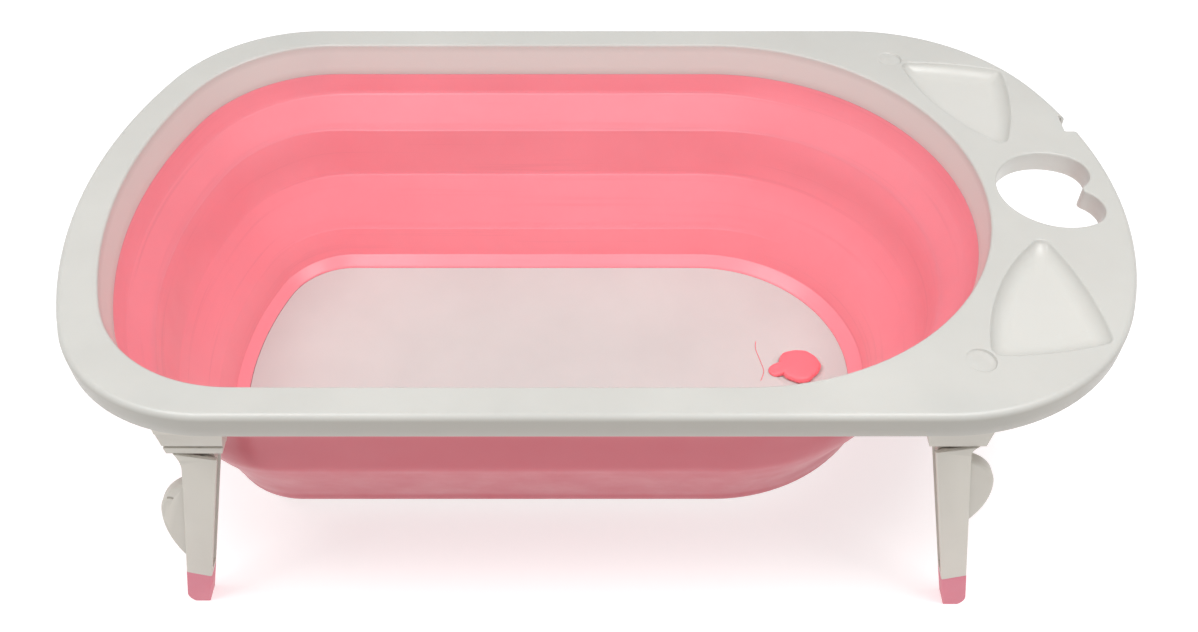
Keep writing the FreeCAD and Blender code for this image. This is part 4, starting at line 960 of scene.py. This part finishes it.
class BathTray(bpy.types.Operator):
    """Hard floor with its drain, the ribs under it and the fine moulded line beside the drain"""

    bl_idname = "bath.tray"
    bl_label = "Floor tray"

    RIB_SPACING = 90 * MM
    RIB_WIDTH = 3 * MM
    RIB_HEIGHT = 5 * MM
    RIB_END_GAP = 10 * MM
    DRAIN_INSET = 228 * MM  # drain's middle, in from the platform's end
    DRAIN_RADIUS = 14 * MM
    DRAIN_BOSS = 4 * MM
    DRAIN_SINK = 1 * MM  # how far the floor sinks round the drain
    DRAIN_STEPS = 56
    RIB_PLACES = (-2, -1, 0, 1)
    HAIRLINE = 0.32 * MM  # radius of the fine line
    HAIRLINE_STEPS = 8
    HAIRLINE_SIDES = 10
    HAIRLINE_PATH = ((147, 33), (146, 23), (149, 8), (151, -5), (147, -17))

    def hairline(self):
        """Fine raised line, a flash of the pink moulding, on the floor beside the plug."""
        height = TOP - DEPTH_FLOOR + self.HAIRLINE
        path = [Vector((x * MM, y * MM, height)) for x, y in self.HAIRLINE_PATH]
        smooth = []
        for i in range(len(path) - 1):
            before, after = path[max(i - 1, 0)], path[min(i + 2, len(path) - 1)]
            for step in range(self.HAIRLINE_STEPS):
                t = step / self.HAIRLINE_STEPS
                smooth.append(0.5 * (2 * path[i] + (path[i + 1] - before) * t
                                     + (2 * before - 5 * path[i] + 4 * path[i + 1] - after) * t ** 2
                                     + (3 * path[i] - before - 3 * path[i + 1] + after) * t ** 3))
        smooth.append(path[-1])
        shell = Shell()
        rings = []
        for i, spot in enumerate(smooth):
            along = (smooth[min(i + 1, len(smooth) - 1)] - smooth[max(i - 1, 0)]).normalized()
            side = along.cross(Vector((0, 0, 1)))
            taper = min(1.0, 0.3 + 0.35 * min(i, len(smooth) - 1 - i))
            ring = []
            for j in range(self.HAIRLINE_SIDES):
                turn = 2 * math.pi * j / self.HAIRLINE_SIDES
                away = (side * math.cos(turn) + Vector((0, 0, math.sin(turn)))) * self.HAIRLINE * taper
                ring.append(shell.mesh.verts.new(spot + away))
            rings.append(ring)
        for end in shell.skin(rings):
            shell.mesh.faces.new(end)
        line = shell.finish("floor_hairline", material_for("pink_plug"))
        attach(line, "base")

    def execute(self, context):
        rim, wall = sizes()
        shell = Shell()
        soft = 0.6 * MM
        under = DEPTH_FLOOR + wall.tray
        inset = wall.inset_floor
        edge = [(inset + 3 * MM, DEPTH_FLOOR), (inset + 1.2 * MM, DEPTH_FLOOR)]
        edge += [(inset + 0.2 * MM + outward, DEPTH_FLOOR + depth) for outward, depth in round_over(soft)]
        edge += [(inset + 0.2 * MM, under - soft), (inset + soft, under), (inset + 3 * MM, under)]
        top, bottom = shell.skin([shell.ring(well_loop(inset), depth) for inset, depth in edge])

        x = HALF_LENGTH - self.DRAIN_INSET
        sink = self.DRAIN_SINK
        drain = [(26 * MM, 0), (25 * MM, 0), (24 * MM, 0.35 * sink), (22.6 * MM, 0.8 * sink),
                 (21.8 * MM, sink), (self.DRAIN_RADIUS + 1.2 * MM, sink)]
        drain += [(self.DRAIN_RADIUS + outward, sink + depth) for outward, depth in round_over(1 * MM)]
        foot = wall.tray + self.RIB_HEIGHT
        outside = self.DRAIN_RADIUS + self.DRAIN_BOSS
        drain += [(self.DRAIN_RADIUS, foot - soft), (self.DRAIN_RADIUS + soft, foot),
                  (outside - soft, foot), (outside, foot - soft), (outside, wall.tray), (outside + 8 * MM, wall.tray)]
        rings = [shell.ring(arc(x, 0, radius, 0, 2 * math.pi, self.DRAIN_STEPS), DEPTH_FLOOR + depth)
                 for radius, depth in drain]
        mouth, boss = shell.skin(rings)
        shell.fill(top, mouth)
        shell.fill(bottom, boss)

        self.hairline()
        white = material_for("floor_plastic")
        half = HALF_WIDTH - rim.land_side - wall.inset_floor - self.RIB_END_GAP
        height = TOP - under - self.RIB_HEIGHT / 2
        shell.add(repeated("floor_ribs", "GeometryNodeMeshCube",
                           [(self.RIB_SPACING * i, 0, height) for i in self.RIB_PLACES],
                           {"Size": (self.RIB_WIDTH, half * 2, self.RIB_HEIGHT + 0.1 * MM)}, white))
        tray = shell.finish("floor_tray", white, sharp=45.0)
        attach(tray, "base")
        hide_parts("base_tray")
        return {"FINISHED"}


class BathPlug(bpy.types.Operator):
    """Soft drain plug with a lobed head, a pull tab and the tab's dimple"""

    bl_idname = "bath.plug"
    bl_label = "Drain plug"

    STEPS = 144
    TAB_REACH = 30 * MM  # tip of the tab, from the plug's middle
    TAB_RADIUS = 7 * MM
    TAB_MIDDLE = TAB_REACH - 7.5 * MM
    TAB_TURN = math.pi + 0.22
    TAB_LOWER = 0.45  # how much lower the tab is than the head
    TAB_BLEND = 1.5 * MM
    DIMPLE_RADIUS = 2.4 * MM
    DIMPLE_DEPTH = 1.2 * MM
    FOOT_GAP = 0.05 * MM  # between the head's foot and the floor
    STEM_GAP = 0.3 * MM  # between the stem and the drain
    # Head from its foot to its peak: (share of the outline, share of the height).
    HEAD = ((0.96, 0.0), (1.0, 0.12), (1.0, 0.40), (0.985, 0.62), (0.95, 0.78), (0.90, 0.88),
            (0.82, 0.94), (0.70, 0.965), (0.55, 0.98), (0.40, 0.99), (0.24, 1.0), (0.10, 1.0))

    def head_loop(self, x, radius, share):
        """Lobed outline with a round tab that reaches out towards the plain end."""
        points = []
        for i in range(self.STEPS):
            turn = 2 * math.pi * i / self.STEPS
            lobes = 0.93 + 0.035 * math.cos(3 * turn - 0.9) + 0.025 * math.cos(5 * turn + 0.4)
            lobes += 0.01 * math.cos(11 * turn)
            reach = radius * lobes * share
            aside = self.TAB_MIDDLE * math.sin(turn - self.TAB_TURN)
            ahead = self.TAB_MIDDLE * math.cos(turn - self.TAB_TURN)
            if abs(aside) < self.TAB_RADIUS and ahead > 0:
                tab = (ahead + math.sqrt(self.TAB_RADIUS ** 2 - aside ** 2)) * share
                reach = (reach + tab + math.sqrt((reach - tab) ** 2 + self.TAB_BLEND ** 2)) / 2
            points.append((x + reach * math.cos(turn), reach * math.sin(turn)))
        return points

    def crown(self, points, x, radius, height):
        """How high a ring rises: the tab stays lower than the head, with a dimple in its middle."""
        spot = Vector((math.cos(self.TAB_TURN), math.sin(self.TAB_TURN))) * self.TAB_MIDDLE
        rises = []
        for px, py in points:
            away = Vector((px - x, py))
            lower = clamped((away.length - radius * 0.86) / (radius * 0.4))
            dimple = math.exp(-((away - spot).length / self.DIMPLE_RADIUS) ** 2)
            rises.append(height * (1 - self.TAB_LOWER * lower) - self.DIMPLE_DEPTH * dimple)
        return rises

    def execute(self, context):
        low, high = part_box("drain_plug")
        floor_depth = DEPTH_FLOOR - self.FOOT_GAP
        height = high.z - (TOP - DEPTH_FLOOR)
        x = low.x + self.TAB_REACH
        radius = high.x - x
        shell = Shell()
        rings = []
        for share, rise in self.HEAD:
            points = self.head_loop(x, radius, share)
            depths = [floor_depth - up * rise for up in self.crown(points, x, radius, height)]
            rings.append(shell.ring(points, depths))
        foot, peak = shell.skin(rings)
        shell.fill(peak)
        stem = BathTray.DRAIN_RADIUS - self.STEM_GAP
        stem_foot = TOP - low.z
        profile = [(stem, floor_depth), (stem, stem_foot - 1.5 * MM),
                   (stem - 0.5 * MM, stem_foot - 0.4 * MM), (stem - 1.5 * MM, stem_foot)]
        rings = [shell.ring(arc(x, 0, r, 0, 2 * math.pi, self.STEPS), depth) for r, depth in profile]
        root, tip = shell.skin(rings)
        shell.fill(tip)
        shell.fill(foot, root)
        plug = shell.finish("drain_plug_soft", material_for("pink_plug"), sharp=55.0)
        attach(plug, "plug")
        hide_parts("drain_plug")
        return {"FINISHED"}


def eased(node, name, slot, body, width, cutter=None):
    """A frame node's copy with its edges eased, standing for that node."""
    data = frame_mesh(node)
    if cutter is not None:
        data = cut_away(name, data, cutter)
    bevel = {"width": width, "segments": 3, "limit_method": "ANGLE", "angle_limit": math.radians(32),
             "harden_normals": False, "use_clamp_overlap": True, "miter_outer": "MITER_ARC"}
    data = with_modifiers(name, data, ("BEVEL", bevel), ("WEIGHTED_NORMAL", {"keep_sharp": True}))
    data.materials.clear()
    data.materials.append(material_for(slot))
    data.shade_smooth()
    piece = linked(name, data)
    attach(piece, body)
    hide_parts(node)
    return piece


class BathLegs(bpy.types.Operator):
    """Folding legs with their soft foot tips"""

    bl_idname = "bath.legs"
    bl_label = "Legs and feet"

    DIMPLE_SPOT = (-312 * MM, 221.8 * MM, 142 * MM)  # on the face of the lobe of a plain-end leg
    DIMPLE_SIZE = (2.7 * MM, 1.5 * MM, 1.9 * MM)

    def dimple(self, side):
        """Oval that is cut into the lobe."""
        x, y, z = self.DIMPLE_SPOT
        shape = bmesh.new()
        place = Matrix.Translation((x, y * side, z)) @ Matrix.Diagonal((*self.DIMPLE_SIZE, 1))
        bmesh.ops.create_uvsphere(shape, u_segments=24, v_segments=12, radius=1, matrix=place)
        return mesh_from("dimple", shape)

    def execute(self, context):
        for place in LEG_PLACES:
            cutter = None
            if place.endswith("left"):
                cutter = self.dimple(-1 if place.startswith("front") else 1)
            eased(f"leg_{place}", f"leg_moulding_{place}", "leg_plastic", f"{place}_leg", 0.7 * MM, cutter)
            eased(f"foot_tip_{place}", f"soft_foot_{place}", "pink_foot", f"{place}_leg", 0.9 * MM)
        return {"FINISHED"}


class BathBrackets(bpy.types.Operator):
    """Brackets under the rim with their screws, and the hinge pins"""

    bl_idname = "bath.brackets"
    bl_label = "Brackets and hinges"

    GROOVE_UP = 25.0 * MM  # groove's middle above the bracket's lowest point
    GROOVE_HIGH = 2.4 * MM
    GROOVE_DEEP = 2.2 * MM
    GROOVE_PAST = 30 * MM  # how far the cutter reaches past the bracket's ends

    def groove(self, node, side):
        """Cornice line along the outer face of a plain-end bracket."""
        low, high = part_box(node)
        face = high.y if side > 0 else low.y
        middle = low.z + self.GROOVE_UP
        ends = sorted((face + side * 2 * MM, face - side * self.GROOVE_DEEP))
        return box_mesh((low.x - self.GROOVE_PAST, ends[0], middle - self.GROOVE_HIGH / 2),
                        (high.x + self.GROOVE_PAST, ends[1], middle + self.GROOVE_HIGH / 2))

    def execute(self, context):
        for place in LEG_PLACES:
            node = f"leg_bracket_{place}"
            groove = None
            if place.endswith("left"):
                groove = self.groove(node, -1 if place.startswith("front") else 1)
            eased(node, f"bracket_moulding_{place}", "leg_plastic", "root", 0.8 * MM, groove)
            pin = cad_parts[f"hinge_pin_{place}"]
            pin.data.materials.clear()
            pin.data.materials.append(material_for("pin_steel"))
        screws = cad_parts["bracket_screws"]
        screws.data.materials.clear()
        screws.data.materials.append(material_for("steel"))
        return {"FINISHED"}


class BathStage(bpy.types.Operator):
    """Pale floor, soft studio lights and the camera"""

    bl_idname = "bath.stage"
    bl_label = "Stage"

    FLOOR_REACH = 6.0  # metres from the middle to the floor's edges
    PAPER = (0.72, 0.72, 0.72, 1)
    PAPER_GLOW = 0.54
    WORLD_LIGHT = 0.5
    # Square lamps: name, place, what they aim at, side in metres and power in watts.
    LAMPS = (("key", (0.62, -0.3, 1.5), (0, 0, 0.1), 0.65, 10.4),
             ("fill", (-0.72, -0.3, 1.5), (-0.1, 0, 0.2), 0.65, 10.2))
    CAMERA_PLACE = (0.0073, -0.6989, 0.8267)
    CAMERA_TILT = math.radians(44)
    CAMERA_LENS = 34.04
    CAMERA_SHIFT = -0.0083

    def lamp(self, name, place, aim, side, power):
        """A soft lamp, turned towards what it aims at."""
        data = bpy.data.lights.new(name, "AREA")
        data.shape = "RECTANGLE"
        data.size = data.size_y = side
        data.energy = power
        lamp = linked(name, data)
        lamp.location = place
        lamp.rotation_euler = (Vector(aim) - Vector(place)).to_track_quat("-Z", "Y").to_euler()

    def execute(self, context):
        scene = context.scene
        floor = bpy.data.meshes.new("studio_floor")
        reach = self.FLOOR_REACH
        floor.from_pydata([(-reach, -reach, 0), (reach, -reach, 0), (reach, reach, 0), (-reach, reach, 0)],
                          [], [(0, 1, 2, 3)])
        paper = bpy.data.materials.new("studio_paper")
        paper.use_nodes = True
        shader = paper.node_tree.nodes["Principled BSDF"]
        shader.inputs["Base Color"].default_value = self.PAPER
        shader.inputs["Roughness"].default_value = 0.9
        shader.inputs["Specular IOR Level"].default_value = 0.1
        shader.inputs["Emission Color"].default_value = (1, 1, 1, 1)
        shader.inputs["Emission Strength"].default_value = self.PAPER_GLOW
        floor.materials.append(paper)
        ground = linked("studio_floor", floor)

        world = bpy.data.worlds.new("studio_world")
        world.use_nodes = True
        sky = world.node_tree.nodes["Background"]
        sky.inputs["Color"].default_value = (1, 1, 1, 1)
        sky.inputs["Strength"].default_value = self.WORLD_LIGHT
        scene.world = world
        for settings in self.LAMPS:
            self.lamp(*settings)

        data = bpy.data.cameras.new("camera")
        data.sensor_width = 36.0
        data.lens = self.CAMERA_LENS
        data.shift_x = self.CAMERA_SHIFT
        data.clip_start = 0.02
        camera = linked("camera", data)
        camera.location = self.CAMERA_PLACE
        camera.rotation_euler = (self.CAMERA_TILT, 0, 0)
        scene.camera = camera
        scene.view_settings.view_transform = "Standard"
        return {"FINISHED"}


class BathPanel(bpy.types.Panel):
    """Sizes, colours and the buttons that build each piece"""

    bl_idname = "VIEW3D_PT_bathtub"
    bl_label = "Bathtub"
    bl_space_type = "VIEW_3D"
    bl_region_type = "UI"
    bl_category = "Bathtub"

    def draw(self, context):
        for group in (context.scene.bath_rim, context.scene.bath_wall, context.scene.bath_colours):
            for key in type(group).__annotations__:
                self.layout.prop(group, key)
        for piece in PIECES:
            self.layout.operator(piece.bl_idname)


PIECES = (BathRim, BathWall, BathTray, BathPlug, BathLegs, BathBrackets, BathStage)
GROUPS = {"bath_rim": BathRimSizes, "bath_wall": BathWallSizes, "bath_colours": BathColours}


def register():
    for name, group in GROUPS.items():
        bpy.utils.register_class(group)
        setattr(bpy.types.Scene, name, PointerProperty(type=group))
    for piece in PIECES:
        bpy.utils.register_class(piece)
    bpy.utils.register_class(BathPanel)


def unregister():
    bpy.utils.unregister_class(BathPanel)
    for piece in reversed(PIECES):
        bpy.utils.unregister_class(piece)
    for name, group in GROUPS.items():
        delattr(bpy.types.Scene, name)
        bpy.utils.unregister_class(group)


def main():
    register()
    bpy.ops.bath.stage()
    bpy.ops.bath.rim()
    bpy.ops.bath.wall()
    bpy.ops.bath.tray()
    bpy.ops.bath.plug()
    bpy.ops.bath.legs()
    bpy.ops.bath.brackets()


if __name__ == "__main__":
    main()
